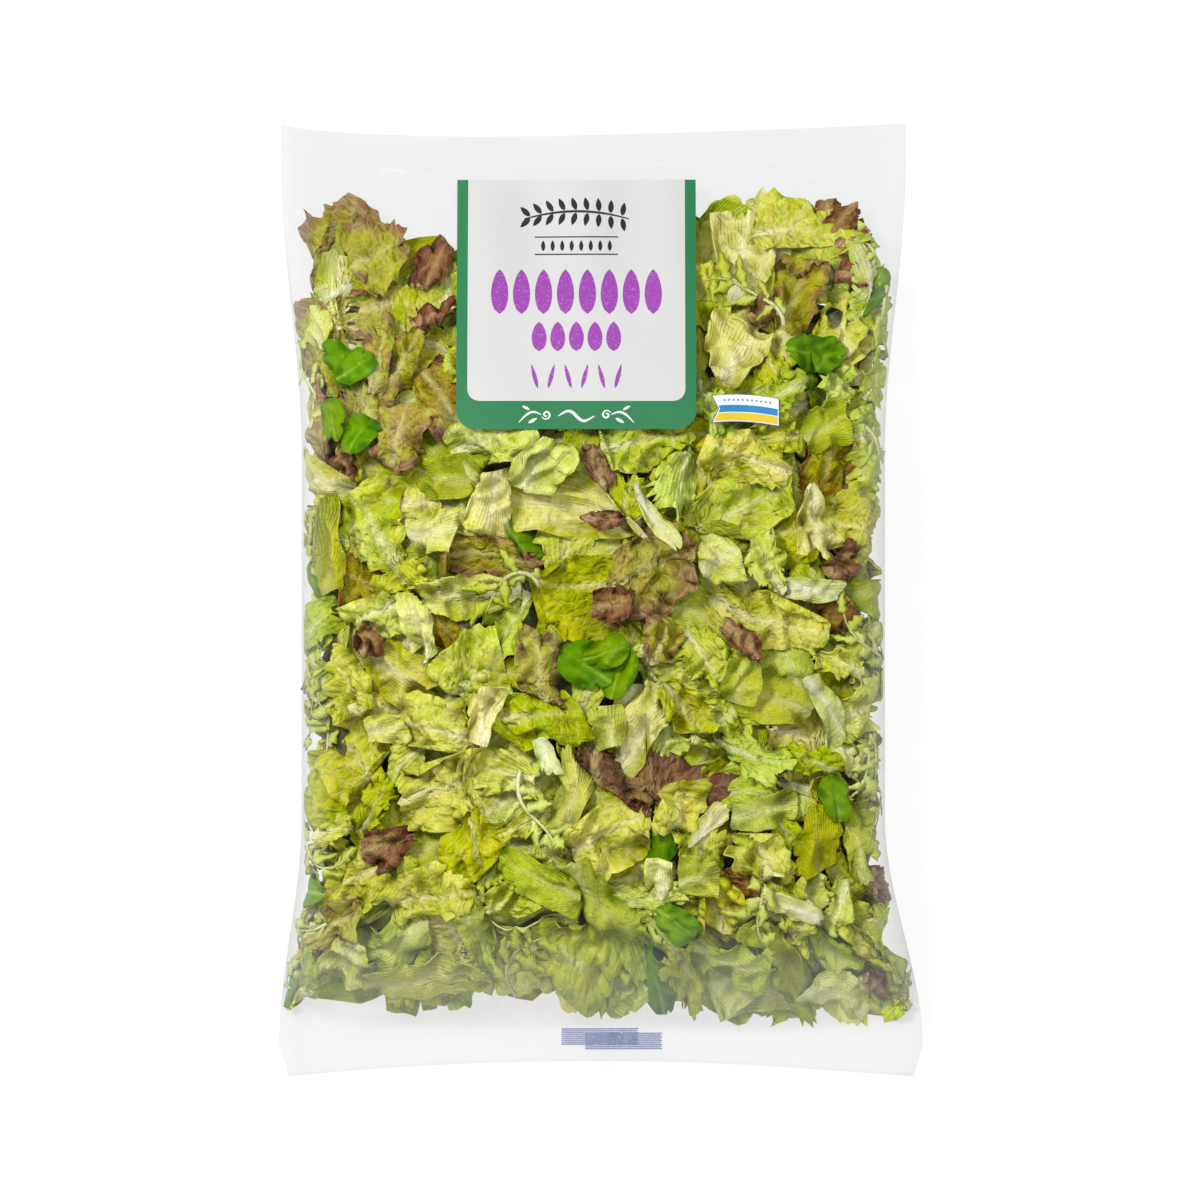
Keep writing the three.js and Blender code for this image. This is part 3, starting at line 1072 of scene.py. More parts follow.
    def hang(
        self,
        blade: Blade,
        sigma: float,
        y: float,
        turn: float,
        clear: float = UNDER,
        slack: float = 3,
    ) -> None:
        """Hangs one leaf under the film and under what is there.

        Args:
            blade: the leaf.
            sigma: where its middle goes, round the tube.
            y: and along it.
            turn: direction from its base to its tip, in radians.
            clear: percent of its points that keep clear of what is over it.
            slack: how far it may reach past the contents' limits.
        """
        cos, sin = math.cos(turn), math.sin(turn)
        across = blade.a * cos - blade.b * sin
        rows = self.keep_inside(sigma, y, across, blade.a * sin + blade.b * cos, slack)
        along = rows - rows.mean()
        place = sigma + across / self.skin.GIRTH
        depth = self.skin.sample(self.skin.depth, place, rows)
        relief = blade.w * np.clip(depth.mean() / self.FREE_DEPTH, 0.3, 1)
        over = self.skin.sample(self.ceiling, place, rows)
        half = 0.5 * blade.size
        p, q = across / half, along / half
        basis = np.stack([np.ones_like(p), p, q, p * p, p * q, q * q], -1)
        stiff = np.diag([0, 0.02, 0.02, 0.3, 0.3, 0.3]) * len(p)
        base = basis @ np.linalg.solve(basis.T @ basis + stiff, basis.T @ over)
        slope = self.rng.normal(0, HABITS[blade.kind].tilt, 2) * half
        raw = base + slope[0] * p + slope[1] * q + relief
        raw = raw + float(np.percentile(over - raw, 100 - clear))
        thin = depth < self.THIN
        floor = np.where(thin, -0.75 * depth, self.rng.uniform(0.3, 1.8))
        height = np.minimum(np.maximum(self.under(raw, over), floor), over)
        height = np.maximum(height, np.where(thin, np.minimum(0.9 - 0.95 * depth, 0), -2.5))
        self.take(GRIDS[blade.detail].triangles, place, rows, height)
        self.laid.append((blade, self.inside(place, rows, height)))


# Finishes


@dataclass(frozen=True)
class LeafFinish:
    """Living leaf blade, washed and damp: a waxy skin over a translucent, blistered blade.

    It gives the eye soft light through the blade, darker and more saturated colour painted into
    the folds as shade, a fine net or fan of paler veins, and small wet glints.
    """

    name: str
    body: str
    second: str  # patches of another shade
    # painted shade: the darker, more saturated colour laid into the low points of the folds
    painted_fold_shade: str
    rim: str
    rib: str
    rim_amount: float = 0.5
    net_mm: float = 5.0  # size of the net between the veins
    net: float = 0.35
    streak_mm: float = 0.0  # distance between parallel veins, or 0 for none
    streak: float = 0.5
    bump_mm: float = 0.35
    roughness: float = 0.42
    glow: float = 0.3  # share of the light that passes through
    wet: float = 0.22

    NOISES = ((9.0, 3.0), (2.4, 2.0), (0.9, 1.0), (4.5, 1.0))  # size in mm, and detail
    SKIN_IOR = 1.34  # plant wax
    WATER_IOR = 1.33

    def build(self) -> bpy.types.Material:
        """Makes the material."""
        material, add = new_material(self.name)
        place = add("ShaderNodeAttribute", None, "Vector", attribute_name="leaf_mm")
        painted_fold_shade, rim, rib, tone = (
            add("ShaderNodeAttribute", None, "Fac", attribute_name=key)
            for key in ("painted_fold_shade", "rim", "rib", "tone")
        )
        patches, grain, fine, folds = (
            add("ShaderNodeTexNoise", {"Vector": place, "Scale": 1 / size, "Detail": detail})
            for size, detail in self.NOISES
        )
        patch_share = add("ShaderNodeMapRange", {"Value": patches, "From Min": 0.42, "From Max": 0.66})
        ragged = add("ShaderNodeMath", {0: patches, 1: -0.5}, operation="ADD")
        ragged_rim = add("ShaderNodeMath", {0: ragged, 1: 1.6, 2: rim}, operation="MULTIPLY_ADD")
        rim_share = add(
            "ShaderNodeMapRange",
            {"Value": ragged_rim, "From Min": 0.95 - self.rim_amount,
             "From Max": 1.25 - 0.6 * self.rim_amount},
        )
        # painted shade: share of the fold colour, from the low points of the relief
        painted_shade_share = add(
            "ShaderNodeMapRange", {"Value": painted_fold_shade, "From Min": 0.5, "From Max": 0.95, "To Max": 0.7}
        )
        net = add(
            "ShaderNodeTexVoronoi",
            {"Vector": place, "Scale": 1 / self.net_mm, "Randomness": 0.9},
            feature="DISTANCE_TO_EDGE",
        )
        vein_share = add(
            "ShaderNodeMapRange", {"Value": net, "From Max": 0.13, "To Min": self.net, "To Max": 0.0}
        )
        centred = add("ShaderNodeMath", {0: folds, 1: -0.5}, operation="ADD")
        crumple = add("ShaderNodeMath", {0: centred, 1: centred}, operation="MULTIPLY")
        shades = [
            (patch_share, self.second), (rim_share, self.rim), (painted_shade_share, self.painted_fold_shade),
            (rib, self.rib), (vein_share, self.rib),
        ]
        heights = [(net, 1.4), (crumple, -16.0), (fine, 0.35)]
        if self.streak_mm:
            lines = add(
                "ShaderNodeTexWave",
                {"Vector": place, "Scale": 0.1 * math.pi / self.streak_mm, "Distortion": 3.5,
                 "Detail": 2.0, "Detail Scale": 0.3},
                "Fac", bands_direction="Y",
            )
            line_share = add(
                "ShaderNodeMapRange",
                {"Value": lines, "From Min": 0.4, "From Max": 1.0, "To Max": self.streak},
            )
            shades.append((line_share, self.rib))
            heights.append((line_share, 1.3))
        colour, relief = linear(self.body), grain
        for share, shade in shades:
            colour = add(
                "ShaderNodeMix", {"Factor": share, "A": colour, "B": linear(shade)}, data_type="RGBA"
            )
        for part, weight in heights:
            relief = add("ShaderNodeMath", {0: part, 1: weight, 2: relief}, operation="MULTIPLY_ADD")
        seed = add("ShaderNodeSeparateXYZ", {"Vector": place}, "Z")
        chance = add("ShaderNodeTexWhiteNoise", {"W": seed}, noise_dimensions="1D")
        by_leaf = add("ShaderNodeMath", {0: tone, 1: 0.18, 2: 0.775}, operation="MULTIPLY_ADD")
        bright = add("ShaderNodeMath", {0: fine, 1: 0.42, 2: by_leaf}, operation="MULTIPLY_ADD")
        hue = add("ShaderNodeMath", {0: chance, 1: 0.034, 2: 0.483}, operation="MULTIPLY_ADD")
        strength = add("ShaderNodeMath", {0: bright, 1: -1.0, 2: 2.14}, operation="MULTIPLY_ADD")
        colour = add(
            "ShaderNodeHueSaturation",
            {"Color": colour, "Hue": hue, "Saturation": strength, "Value": bright},
        )
        bump = add("ShaderNodeBump", {"Height": relief, "Distance": self.bump_mm * MM, "Strength": 1.0})
        skin = add(
            "ShaderNodeBsdfPrincipled",
            {"Base Color": colour, "Roughness": self.roughness, "IOR": self.SKIN_IOR,
             "Normal": bump, "Specular IOR Level": 0.09, "Coat Weight": self.wet,
             "Coat Roughness": 0.06, "Coat IOR": self.WATER_IOR, "Coat Normal": bump},
        )
        through = add("ShaderNodeBsdfTranslucent", {"Color": colour, "Normal": bump})
        blade = add("ShaderNodeMixShader", {0: self.glow, 1: skin, 2: through})
        add("ShaderNodeOutputMaterial", {"Surface": blade})
        return material


# The fourth colour of each finish is painted shade for the low points of the folds.
LEAF_FINISHES: dict[Kind, LeafFinish] = {
    Kind.FRILLED: LeafFinish(
        "blistered_frilled_lettuce_blade", "dcd96a", "b8c646", "8e940e", "c6cc4c", "eceab0",
        0.3, 4.0, 0.3, 0.0, 0.5, 1.15, 0.26, 0.24,
    ),
    Kind.RIBBED: LeafFinish(
        "ribbed_green_endive_blade", "b6c24a", "ced25c", "7c8e18", "aebe3c", "dee092",
        0.3, 4.0, 0.12, 0.8, 0.3, 0.7, 0.27, 0.22,
    ),
    Kind.HEART: LeafFinish(
        "pale_lettuce_heart_blade", "e7e594", "d9dc72", "adb030", "d4d85e", "f0efc2",
        0.35, 6.0, 0.2, 1.0, 0.18, 0.8, 0.27, 0.25,
    ),
    Kind.BRONZE: LeafFinish(
        "bronze_frilled_lettuce_blade", "b7b252", "a5904e", "7c7620", "947058", "d4cc90",
        0.52, 4.0, 0.3, 0.0, 0.5, 1.15, 0.24, 0.24,
    ),
    Kind.RED: LeafFinish(
        "dark_red_lettuce_blade", "8e6650", "a08654", "52341f", "704a3e", "bca27a",
        0.6, 4.0, 0.2, 0.0, 0.5, 1.2, 0.22, 0.2,
    ),
    Kind.CORN: LeafFinish(
        "smooth_corn_salad_blade", "68901f", "7a9e2e", "33600f", "60881c", "90b050",
        0.3, 7.0, 0.08, 0.0, 0.5, 0.3, 0.3, 0.2, 0.12,
    ),
    Kind.STALK: LeafFinish(
        "crisp_white_lettuce_rib", "dedf9c", "d1d680", "b6b860", "c0cb60", "f2f1d6",
        0.3, 9.0, 0.1, 1.0, 0.25, 0.5, 0.26, 0.3,
    ),
    Kind.CURLY: LeafFinish(
        "curly_endive_blade", "c3d24c", "d3da64", "8a9a1c", "c9d656", "eaebb4",
        0.3, 4.0, 0.15, 1.4, 0.25, 0.8, 0.26, 0.28,
    ),
}


@dataclass(frozen=True)
class FilmFinish:
    """Cast polypropylene film, clear and glossy, 30 microns thick.

    It gives the eye a faint grey veil, a milky white where it is seen aslant and at the tube's
    sides, which is painted reflection in diffuse white, and sharp small glints along its creases.
    """

    name: str = "clear_cast_polypropylene_film"
    passes: str = "fcfcfc"  # what one layer lets through
    aslant: str = "eeefef"
    # diffuse white for the painted reflection and for the doubled film at the low end
    sheen_and_double_layer_white: str = "d8dad8"
    gloss: float = 0.12
    mirror: float = 0.0007
    # painted reflection: diffuse white mixed in where the film is seen aslant
    painted_grazing_sheen: float = 0.2

    def build(self) -> bpy.types.Material:
        """Makes the material."""
        material, add = new_material(self.name)
        veil, grey = (
            add("ShaderNodeAttribute", None, "Fac", attribute_name=key)
            for key in ("veil", "grey")
        )
        facing = add("ShaderNodeLayerWeight", {"Blend": 0.5}, "Facing")
        steep, edge_on = (
            add("ShaderNodeMath", {0: facing, 1: power}, operation="POWER")
            for power in (2.2, 4.0)
        )
        # painted reflection aslant and at the sides, and the whiter doubled film at the low end
        sheen_and_double_layer_share = add("ShaderNodeMath", {0: steep, 1: self.painted_grazing_sheen, 2: veil}, operation="MULTIPLY_ADD")
        dim = add("ShaderNodeMath", {0: steep, 1: grey}, operation="MAXIMUM")
        tint = add(
            "ShaderNodeMix",
            {"Factor": dim, "A": linear(self.passes), "B": linear(self.aslant)},
            data_type="RGBA",
        )
        clear = add("ShaderNodeBsdfTransparent", {"Color": tint})
        sheen_and_double_layer_white = add("ShaderNodeBsdfDiffuse", {"Color": linear(self.sheen_and_double_layer_white)})
        body = add("ShaderNodeMixShader", {0: sheen_and_double_layer_share, 1: clear, 2: sheen_and_double_layer_white})
        shine = add("ShaderNodeBsdfGlossy", {"Color": linear(WHITE), "Roughness": self.gloss})
        mirror = add("ShaderNodeMath", {0: edge_on, 1: 0.3, 2: self.mirror}, operation="MULTIPLY_ADD")
        film = add("ShaderNodeMixShader", {0: mirror, 1: body, 2: shine})
        add("ShaderNodeOutputMaterial", {"Surface": film})
        return material


@dataclass(frozen=True)
class WaterFinish:
    """Drops of wash water: clear lenses that give the eye small bright glints."""

    name: str = "clinging_wash_water"
    passes: str = "f4f8ee"
    ripple_mm: float = 1.5

    def build(self) -> bpy.types.Material:
        """Makes the material."""
        material, add = new_material(self.name)
        place = add("ShaderNodeTexCoord", None, "Object")
        ripple = add("ShaderNodeTexNoise", {"Vector": place, "Scale": 1 / (self.ripple_mm * MM)})
        bump = add("ShaderNodeBump", {"Height": ripple, "Distance": 0.05 * MM, "Strength": 0.4})
        clear = add("ShaderNodeBsdfTransparent", {"Color": linear(self.passes)})
        shine = add("ShaderNodeBsdfGlossy", {"Color": linear(WHITE), "Roughness": 0.04, "Normal": bump})
        facing = add("ShaderNodeLayerWeight", {"Blend": 0.5}, "Facing")
        edge_on = add("ShaderNodeMath", {0: facing, 1: 3.0}, operation="POWER")
        mirror = add("ShaderNodeMath", {0: edge_on, 1: 0.4, 2: 0.03}, operation="MULTIPLY_ADD")
        drop = add("ShaderNodeMixShader", {0: mirror, 1: clear, 2: shine})
        add("ShaderNodeOutputMaterial", {"Surface": drop})
        return material


@dataclass(frozen=True)
class PrintFinish:
    """Satin polypropylene label stock or ink on it: an even coat with a fine mottle.

    It gives the eye a soft sheen, and a slight unevenness where ink lies thinner.
    """

    name: str
    colour: str
    worn: str  # where the coat is thinner
    wear: float = 0.25
    roughness: float = 0.6
    mottle_mm: float = 0.9

    def build(self) -> bpy.types.Material:
        """Makes the material."""
        material, add = new_material(self.name)
        place = add("ShaderNodeTexCoord", None, "Object")
        speckle = add(
            "ShaderNodeTexNoise", {"Vector": place, "Scale": 1 / (self.mottle_mm * MM), "Detail": 3.0}
        )
        share = add(
            "ShaderNodeMapRange",
            {"Value": speckle, "From Min": 0.56, "From Max": 0.68, "To Max": self.wear},
        )
        colour = add(
            "ShaderNodeMix",
            {"Factor": share, "A": linear(self.colour), "B": linear(self.worn)},
            data_type="RGBA",
        )
        bump = add("ShaderNodeBump", {"Height": speckle, "Distance": 0.01 * MM, "Strength": 0.3})
        coat = add(
            "ShaderNodeBsdfPrincipled",
            {"Base Color": colour, "Roughness": self.roughness, "IOR": 1.3, "Normal": bump},
        )
        add("ShaderNodeOutputMaterial", {"Surface": coat})
        return material


@dataclass(frozen=True)
class CoreFinish:
    """Leaves deep in the heap, which only show as shade between the others.

    It gives the eye a dark olive, which is painted shade, with lighter and greener patches.
    """

    name: str = "painted_shade_of_deep_leaves"
    # painted shade: the dark olive of the gaps between the leaves
    shade: str = "2b2a0c"
    patch: str = "585c17"
    patch_mm: float = 6.0

    def build(self) -> bpy.types.Material:
        """Makes the material."""
        material, add = new_material(self.name)
        place = add("ShaderNodeTexCoord", None, "Object")
        noise = add(
            "ShaderNodeTexNoise", {"Vector": place, "Scale": 1 / (self.patch_mm * MM), "Detail": 4.0}
        )
        share = add("ShaderNodeMapRange", {"Value": noise, "From Min": 0.4, "From Max": 0.62})
        colour = add(
            "ShaderNodeMix",
            {"Factor": share, "A": linear(self.shade), "B": linear(self.patch)},
            data_type="RGBA",
        )
        bump = add("ShaderNodeBump", {"Height": noise, "Distance": 2 * MM})
        matt = add("ShaderNodeBsdfPrincipled", {"Base Color": colour, "Roughness": 0.6, "Normal": bump})
        add("ShaderNodeOutputMaterial", {"Surface": matt})
        return material


# The pieces


@dataclass
class FilmBag:
    """The tube of film with its two welds: one closed sheet."""

    skin: Skin
    along: int = 150
    across: int = 90
    crowding: float = 0.3  # how much the rings crowd towards the welds
    # painted reflection: diffuse white at the tube's sides, where the film curves away
    painted_side_sheen: float = 0.12
    low_veil: float = 0.15  # the film lies in two layers, slack, at the low end
    grey: tuple[float, float] = (0.08, 0.34)  # over the body, and more towards the top weld

    def build(self) -> bpy.types.Object:
        """Makes the film and lets it stand for the CAD solid."""
        pillow = self.skin.pillow
        v = np.linspace(0, 1, self.along)
        v = mix(v, 0.5 - 0.5 * np.cos(math.pi * v), self.crowding)[:, None]
        u = -np.cos(np.linspace(0, math.pi, self.across + 1))
        y = mix(pillow.bottom_edge(u)[None], pillow.top_edge(u)[None], v)
        tops = pillow.film(u[None], y, True)
        unders = pillow.film(u[None], y, False)[:, -2:0:-1]
        rings = np.concatenate([tops, unders], 1) + self.skin.shift
        rows, columns = rings.shape[:2]
        triangles = [grid_triangles(rows, columns, closed=True)]
        for r, flip in ((0, True), (rows - 1, False)):
            ends = np.arange(self.across + 1) + r * columns
            back = r * columns + (columns - np.arange(self.across + 1)) % columns
            back[-1] = ends[-1]
            strip = np.concatenate([
                np.stack([ends[:-1], ends[1:], back[1:]], -1),
                np.stack([ends[:-1], back[1:], back[:-1]], -1),
            ])
            strip = strip[(strip != np.roll(strip, 1, axis=1)).all(1)]
            triangles.append(strip[:, ::-1] if flip else strip)
        around = np.concatenate([u, u[-2:0:-1]])
        # the veil: painted reflection at the sides, and the whiter doubled film at the low end
        veil = self.painted_side_sheen * between(np.abs(around), 0.88, 1.0)[None] * np.ones((rows, 1))
        veil = veil + self.low_veil * between(-rings[..., 1], 125, 172)
        grey = self.grey[0] + self.grey[1] * between(rings[..., 1], 110, 165)
        film = mesh_object(
            "clear_film", rings.reshape(-1, 3), np.concatenate(triangles), FilmFinish().build(),
            {"veil": veil.ravel(), "grey": grey.ravel()},
        )
        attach(film, ROOT)
        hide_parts("bag")
        log.info("film: %d triangles", len(film.data.polygons))
        return film


@dataclass
class SaladCore:
    """The shaded inside of the heap, on which the leaves lie."""

    skin: Skin
    bottom_inset: float = 28
    top_inset: float = 44
    gap: float = 1.0
    side_gap: float = 4.5
    lump: float = 1.2  # height of the waves on it
    lump_mm: tuple[float, float] = (9, 11)
    rows: int = 60
    every: int = 4  # it takes each fourth column of the skin

    def build(self, heap: Heap) -> bpy.types.Object:
        """Makes one closed body under the leaves.

        Args:
            heap: gives how far the contents reach.

        Returns:
            The core.
        """
        skin = self.skin
        step = slice(None, None, self.every)
        low, high = heap.limits(skin.points[len(skin.y) // 2, step, 0])
        sigma = np.arange(skin.columns)[step] / skin.columns - 0.25
        beside = between(np.abs(sigma % 0.5 - 0.25), 0.12, 0.04)
        rings = []
        for share in np.linspace(0, 1, self.rows):
            y = mix(low + self.bottom_inset, high - self.top_inset, share)
            depth = skin.sample(skin.depth, sigma, y) + mix(self.gap, self.side_gap, beside)
            normals = unit(skin.sample(skin.normals, sigma, y))
            ring = skin.sample(skin.points, sigma, y) - normals * depth[:, None]
            waves = np.sin(ring[:, 0] / self.lump_mm[0]) * np.sin(ring[:, 1] / self.lump_mm[1])
            ring[:, 2] += self.lump * waves
            rings.append(ring)
        points = np.concatenate([*rings, [rings[0].mean(0), rings[-1].mean(0)]])
        # its dark finish is painted shade between the leaves
        core = mesh_object(
            "salad_core", points, capped_rings(self.rows, len(sigma)), CoreFinish().build()
        )
        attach(core, ROOT)
        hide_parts("bag")
        log.info("core: %d triangles", len(core.data.polygons))
        return core


@dataclass
class MixedLeaves:
    """All the leaves but the fine shreds."""

    skin: Skin
    rng: np.random.Generator
    under_count: int = 150
    under_size: float = 1.3  # the underside shows the larger leaves, pressed flat
    side_count: int = 22
    fill_count: int = 30
    upper_count: int = 105
    lower_count: int = 215
    # painted light: how much lighter the leaves low in the bag are made
    painted_low_light: float = 0.45
    rest: float = 0.15  # the lowest leaves press flat on the film over the table

    GROW = 1.06  # a shown leaf's size over what shows of it
    TONES = (-0.9, 0.8)
    TONE_SHIFT = (-0.15, 0.15)
    ENOUGH = 0.03  # a spot with less bare than this needs no more leaves
    WIDE_OPEN = 0.6  # a spot with this much bare takes the largest leaves
    SMALLEST = 0.46  # share of its kind's size that a leaf in the narrowest gap has
    OVER = (-0.235, 0.235)
    SIDES = ((-0.30, -0.21), (0.21, 0.30))
    UNDER = (0.27, 0.73)
    MIX = {
        Kind.FRILLED: 0.28, Kind.RIBBED: 0.15, Kind.HEART: 0.16, Kind.BRONZE: 0.04,
        Kind.RED: 0.035, Kind.CORN: 0.03, Kind.STALK: 0.025, Kind.CURLY: 0.28,
    }

    def pick(self, x: float, y: float) -> Kind:
        """Draws a kind: more ribbed ones low in the bag and more bronze at the upper left.

        Args:
            x: where the leaf goes, across the bag.
            y: and along it.

        Returns:
            Its kind.
        """
        low = float(between(np.array(-y), 60, 150))
        corner = float(between(np.array(-x), 50, 75) * between(np.array(y), 45, 75))
        shares = dict(self.MIX)
        shares[Kind.RIBBED] += 0.14 * low
        shares[Kind.HEART] += 0.03 * low - 0.12 * corner
        shares[Kind.FRILLED] -= 0.14 * low
        shares[Kind.CURLY] += 0.1 * low
        shares[Kind.BRONZE] += 0.45 * corner - 0.02 * low
        weights = np.array(list(shares.values()))
        return list(shares)[int(self.rng.choice(len(weights), p=weights / weights.sum()))]

    def lift(self, blade: Blade, y: float) -> None:
        """Lightens a leaf low in the bag: painted light, which lifts the shade on the heap's lower
        slope.
        """
        blade.looks["tone"] += self.painted_low_light * float(between(np.array(-y), 90, 150))

    def fill(self, heap: Heap, shreds: "Shreds") -> None:
        """Hangs every leaf, first those that the photo shows and then those in the gaps.

        Args:
            heap: takes the leaves.
            shreds: gets its turn between the layers.
        """
        rng, grower = self.rng, Grower(self.rng)
        shreds.scatter(heap, 3)
        for leaf in sorted(SHOWN, key=lambda shown: shown.length * shown.width):
            tone = leaf.tone + rng.uniform(*self.TONE_SHIFT)
            length, width = leaf.length * self.GROW, leaf.width * self.GROW
            blade = grower.grow(leaf.kind, Detail.FINE, length, width, tone)
            # painted light: lightens leaves low in the bag
            self.lift(blade, leaf.y)
            x, y = leaf.x + self.skin.shift[0], leaf.y + self.skin.shift[1]
            heap.hang(blade, self.skin.sigma_over(x, y), y, math.radians(leaf.turn), 92, 60)
        log.info("bare after the shown leaves: %.3f", heap.bare_share())
        shreds.scatter(heap, 10)
        rounds = (
            (self.OVER, self.upper_count, Detail.FINE, 0, 1.0),
            *((side, self.side_count, Detail.FINE, 0, 1.0) for side in self.SIDES),
            *((side, self.fill_count, Detail.PLAIN, 1, 1.0) for side in self.SIDES),
            (self.OVER, self.lower_count, Detail.PLAIN, 1, 1.0),
            (self.UNDER, self.under_count, Detail.PLAIN, 0, self.under_size),
        )
        for zone, count, detail, reach, size in rounds:
            for i in range(count):
                sigma, y, bare = heap.spot(zone, 5, reach)
                if bare < self.ENOUGH:
                    break
                x = float(self.skin.sample(self.skin.points, sigma, y)[0])
                kind = self.pick(x, y)
                habit = HABITS[kind]
                share = size * (self.SMALLEST + 0.58 * min(1.0, bare / self.WIDE_OPEN))
                length = share * rng.uniform(*habit.length)
                width = mix(share, size, 0.3) * rng.uniform(*habit.width)
                blade = grower.grow(kind, detail, length, width, rng.uniform(*self.TONES))
                # painted light: lightens leaves low in the bag
                self.lift(blade, y)
                heap.hang(blade, sigma, y, rng.uniform(0, TAU))
                if zone is self.OVER and detail is Detail.FINE and i % 6 == 0:
                    shreds.scatter(heap, 1)
            log.info("bare now: %.3f after %d leaves", heap.bare_share(), len(heap.laid))

    def thicken(self, laid: list[tuple[Blade, Array]], kind: Kind, detail: Detail) -> list[Array]:
        """Makes thin solids of laid sheets that share a grid.

        Args:
            laid: the leaves, each with the points of its sheet.
            kind: their kind.
            detail: how finely they are divided.

        Returns:
            Their points, triangles and rim marks, with all leaves in one row each.
        """
        grid, habit = GRIDS[detail], HABITS[kind]
        sheets = np.stack([sheet for _, sheet in laid])
        normals = grid.normals(sheets)
        ribs = np.stack([blade.looks["rib"] for blade, _ in laid])
        half = 0.5 * (habit.thickness + habit.rib * ribs)[..., None]
        upper = sheets + normals * 0.5 * habit.thickness
        lower = sheets - normals * (2 * half - 0.5 * habit.thickness)
        both = np.concatenate([upper, lower], 1)
        both[..., 2] = np.maximum(both[..., 2], self.rest)
        count, each = both.shape[:2]
        solid, marks = grid.solid()
        triangles = solid[None] + each * np.arange(count)[:, None, None]
        return [both.reshape(-1, 3), triangles.reshape(-1, 3), np.tile(marks, count)]

    def build(self, heap: Heap) -> list[bpy.types.Object]:
        """Turns the laid sheets into thin solids, one piece for each kind.

        Args:
            heap: gives the laid leaves.

        Returns:
            The pieces.
        """
        made = []
        for kind in Kind:
            points, triangles, rims, start = [], [], [], 0
            looks: dict[str, list[Array]] = {}
            for detail in Detail:
                laid = [item for item in heap.laid if item[0].kind is kind and item[0].detail is detail]
                if not laid:
                    continue
                corners, faces, marks = self.thicken(laid, kind, detail)
                points.append(corners)
                triangles.append(faces + start)
                rims.append(marks)
                start += len(corners)
                for key in laid[0][0].looks:
                    doubled = [np.concatenate([blade.looks[key]] * 2) for blade, _ in laid]
                    looks.setdefault(key, []).append(np.concatenate(doubled))
            item = mesh_object(
                kind.value, np.concatenate(points), np.concatenate(triangles),
                LEAF_FINISHES[kind].build(),
                {key: np.concatenate(parts) for key, parts in looks.items()},
                np.concatenate(rims),
            )
            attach(item, ROOT)
            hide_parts("bag")
            made.append(item)
            log.info("%s: %d triangles", kind.value, len(item.data.polygons))
        return made


